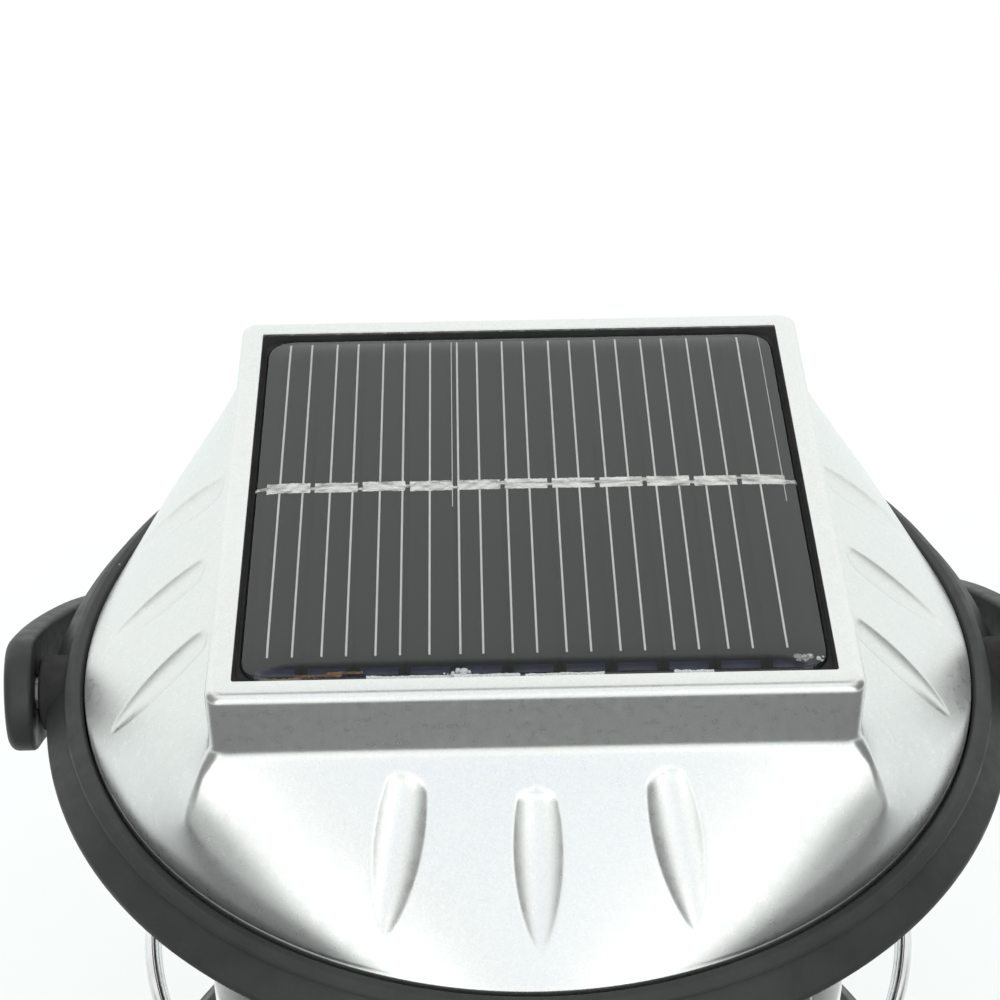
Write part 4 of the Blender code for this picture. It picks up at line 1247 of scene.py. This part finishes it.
def make_base():
    """Base plate with the door's opening and sunk screw holes, battery door with finger ribs, feet."""
    low, high = span("base_plate")
    floor_top = low.z + 3.0
    profile = [(0, floor_top), (48.4, floor_top, 0.6), (49.2, floor_top + 0.8, 0.3), (49.2, high.z, 0.3),
               (51.4, high.z, 0.4), (52.6, high.z - 1.2, 1.2), (53.6, 9.0, 3.0), (52.8, low.z + 1.0, 1.0),
               (51.2, low.z, 0.8), (0, low.z)]
    base = add(turned, "base_shell", profile, slot="black_plastic", steps=240, replaces=["base_plate"])
    door_low, door_high = span("battery_door")
    gap = 0.3
    cutters = [cutting_box((door_low.x - gap, door_low.y - gap, 0.0),
                           (door_high.x + gap, door_high.y + gap, 8.0))]
    for node in BASE_SCREWS:
        cutters.append(cutting_cylinder(3.2, 0.0, 5.8, upright(node)))
        cutters.append(cutting_cylinder(1.7, 5.0, 8.0, upright(node)))
    carve(base, *cutters)
    door = add(box_piece, "battery_hatch", tuple(door_low), tuple(door_high), slot="black_plastic",
               bevel=0.3, replaces=["battery_door"])
    ribs = []
    for index in range(5):
        x = door_low.x + 6.0 + index * 2.4
        ribs.append(cutting_box((x, -9.0, door_low.z - 1), (x + 1.1, 9.0, door_low.z + 0.5)))
    carve(door, *ribs)
    for index in range(4):
        node = f"rubber_foot_{index + 1}"
        low, high = span(node)
        radius = high.x - middle(node).x
        foot = [(0, high.z), (radius, high.z, 0.2), (radius, 0.3, 0.5), (radius - 0.9, 0, 0.4),
                (radius - 1.4, 0.0, 0.1), (radius - 1.8, 0.4, 0.2), (0, 0.4)]
        add(turned, f"foot_{index + 1}", foot, slot="black_rubber", steps=64, matrix=upright(node),
            replaces=[node])


def dress_cad_nodes():
    """Give every CAD node that still shows its procedural material."""
    slots = {part["node"]: part["material_slot"] for part in frame["record"]["subparts"]}
    for name, node in frame["nodes"].items():
        node.data.materials.clear()
        node.data.materials.append(MATERIALS[slots[name]])


# ---------------------------------------------------------------- studio

def make_floor():
    size = 6000.0
    floor = place("floor", [(-size, -size, 0), (size, -size, 0), (size, size, 0), (-size, size, 0)],
                  [(0, 1, 2, 3)], pale_floor(), body=None)


def world_ramp(tree, value, low, high):
    """A socket that runs softly from 0 to 1 while the given one runs from low to high."""
    inputs = {"Value": value, "From Min": low, "From Max": high}
    return make_node(tree, "MapRange", inputs, interpolation_type="SMOOTHSTEP").outputs["Result"]


def world_math(tree, operation, first, second):
    """One value from two sockets or numbers."""
    return make_node(tree, "Math", {0: first, 1: second}, operation=operation).outputs[0]


def make_world():
    """White tent, dimmer in a broad soft patch low behind the lantern and to its left."""
    world = bpy.data.worlds.new("studio")
    bpy.context.scene.world = world
    world.use_nodes = True
    tree = world.node_tree
    background = tree.nodes["Background"]
    background.inputs["Color"].default_value = (0.985, 1.0, 0.995, 1.0)
    toward = tree.nodes.new("ShaderNodeTexCoord").outputs["Generated"]
    x, y, z = make_node(tree, "SeparateXYZ", {0: toward}).outputs
    right = world_ramp(tree, x, 0.0, 0.2)
    high = world_ramp(tree, z, 0.6, 0.7)
    low = world_ramp(tree, z, 0.42, 0.3)
    open_sky = world_math(tree, "MAXIMUM", world_math(tree, "MAXIMUM", right, high), low)
    patch = world_math(tree, "SUBTRACT", 1.0, open_sky)
    patch = world_math(tree, "MULTIPLY", patch, world_ramp(tree, y, 0.3, 0.6))
    dimming = world_math(tree, "MULTIPLY", patch, 0.02)
    tree.links.new(world_math(tree, "SUBTRACT", 1.12, dimming), background.inputs["Strength"])


def direction(azimuth, elevation):
    """Unit direction; azimuth in degrees from the front towards the right."""
    a, e = math.radians(azimuth), math.radians(elevation)
    return Vector((math.sin(a) * math.cos(e), -math.cos(a) * math.cos(e), math.sin(e)))


def fading_card_material(name, color):
    """Emission that fades to clear where the mesh's fade attribute falls to zero."""
    material = bpy.data.materials.new(name)
    material.use_nodes = True
    tree = material.node_tree
    tree.nodes.clear()
    emission = make_node(tree, "Emission", {"Color": (*color, 1.0)})
    clear = make_node(tree, "BsdfTransparent", {})
    fade = make_node(tree, "Attribute", {}, attribute_name="fade")
    blend = make_node(tree, "MixShader", {0: fade.outputs["Fac"], 1: clear.outputs[0],
                                          2: emission.outputs[0]})
    make_node(tree, "OutputMaterial", {"Surface": blend.outputs[0]})
    return material


def border_fade(share, soft):
    """0 at both ends of a card, 1 further in than the soft share of its width."""
    return smooth(min(min(share, 1 - share) / soft, 1.0))


def make_card(name, azimuths, elevations, color, distance=900.0, soft=(0.15, 0.2)):
    """A card seen from the head between two azimuths and two elevations, only in glossy reflections."""
    steps = 24
    verts = []
    fades = []
    for row in range(steps + 1):
        elevation = elevations[0] + (elevations[1] - elevations[0]) * row / steps
        for step in range(steps + 1):
            azimuth = azimuths[0] + (azimuths[1] - azimuths[0]) * step / steps
            verts.append(direction(azimuth, elevation) * distance + Vector((0, 0, 180)))
            fades.append(border_fade(step / steps, soft[0]) * border_fade(row / steps, soft[1]))
    card = place(name, verts, grid_faces(steps, steps), fading_card_material(name, color), body=None)
    attribute = card.data.attributes.new("fade", "FLOAT", "POINT")
    attribute.data.foreach_set("value", fades)
    for ray in ("camera", "diffuse", "transmission", "shadow"):
        setattr(card, f"visible_{ray}", False)


def make_light(name, location, target, size, power):
    """A round soft light aimed at a point, in metres."""
    light = bpy.data.lights.new(name, "AREA")
    light.shape = "DISK"
    light.size = size
    light.energy = power
    lamp = bpy.data.objects.new(name, light)
    lamp.location = location
    lamp.visible_glossy = False
    lamp.rotation_euler = (Vector(location) - Vector(target)).to_track_quat("Z", "Y").to_euler()
    bpy.context.scene.collection.objects.link(lamp)


def make_studio():
    """White tent: dark gaps at both sides of the front, bright panels beside and above the camera."""
    make_floor()
    make_world()
    head = (0.0, 0.0, TOP_Z * MM)
    make_light("front_light", (0.0, -0.235, 0.42), head, 0.05, 0.05)
    make_light("back_light", (0.0, 1.2, 1.6), (0.0, 0.6, 0.0), 0.9, 4.0)
    make_card("left_gap", (-118.0, -31.0), (-12.0, 62.0), (0.22, 0.225, 0.22))
    make_card("right_gap", (32.0, 120.0), (-12.0, 62.0), (0.15, 0.155, 0.15))
    make_card("left_panel", (-36.0, -10.0), (-2.0, 40.0), (1.75, 1.79, 1.77))
    make_card("right_panel", (9.0, 36.0), (4.0, 46.0), (1.75, 1.79, 1.77))
    make_card("middle_panel", (-13.0, 13.0), (38.0, 72.0), (1.02, 1.05, 1.16))
    make_card("floor_gap", (-108.0, 108.0), (-70.0, -4.0), (0.16, 0.165, 0.165), 170.0, (0.2, 0.1))
    make_card("ceiling", (100.0, 260.0), (56.0, 89.0), (0.36, 0.37, 0.37))


def make_camera():
    """Camera above the front, looking down on the panel."""
    camera = bpy.data.cameras.new("camera")
    camera.sensor_width = 36.0
    camera.lens = 89.89
    camera.clip_start = 0.02
    camera.clip_end = 30.0
    azimuth, elevation = -0.79, 38.46
    roll = math.radians(-0.62)
    back = direction(azimuth, elevation)
    right = (-back).cross(Vector((0, 0, 1))).normalized()
    up = right.cross(-back)
    turned_right = right * math.cos(roll) + up * math.sin(roll)
    turned_up = -right * math.sin(roll) + up * math.cos(roll)
    holder = bpy.data.objects.new("camera", camera)
    rotation = Matrix((turned_right, turned_up, back)).transposed().to_4x4()
    distance, aside, lower = 274.9, 2.92, 1.43
    offset = back * distance - turned_right * aside - turned_up * lower
    holder.matrix_world = Matrix.Translation((offset + Vector((0, 0, TOP_Z))) * MM) @ rotation
    bpy.context.scene.collection.objects.link(holder)
    bpy.context.scene.camera = holder
    bpy.context.scene.view_settings.view_transform = "Standard"


dress_cad_nodes()
make_cap()
make_resin()
make_backing()
make_strips()
make_ribbons()
make_glue()
make_gap_shade_bead()
make_rings()
make_handle()
make_screws()
make_globe()
make_guard()
make_lamps()
make_body()
make_controls()
make_base()
make_studio()
make_camera()
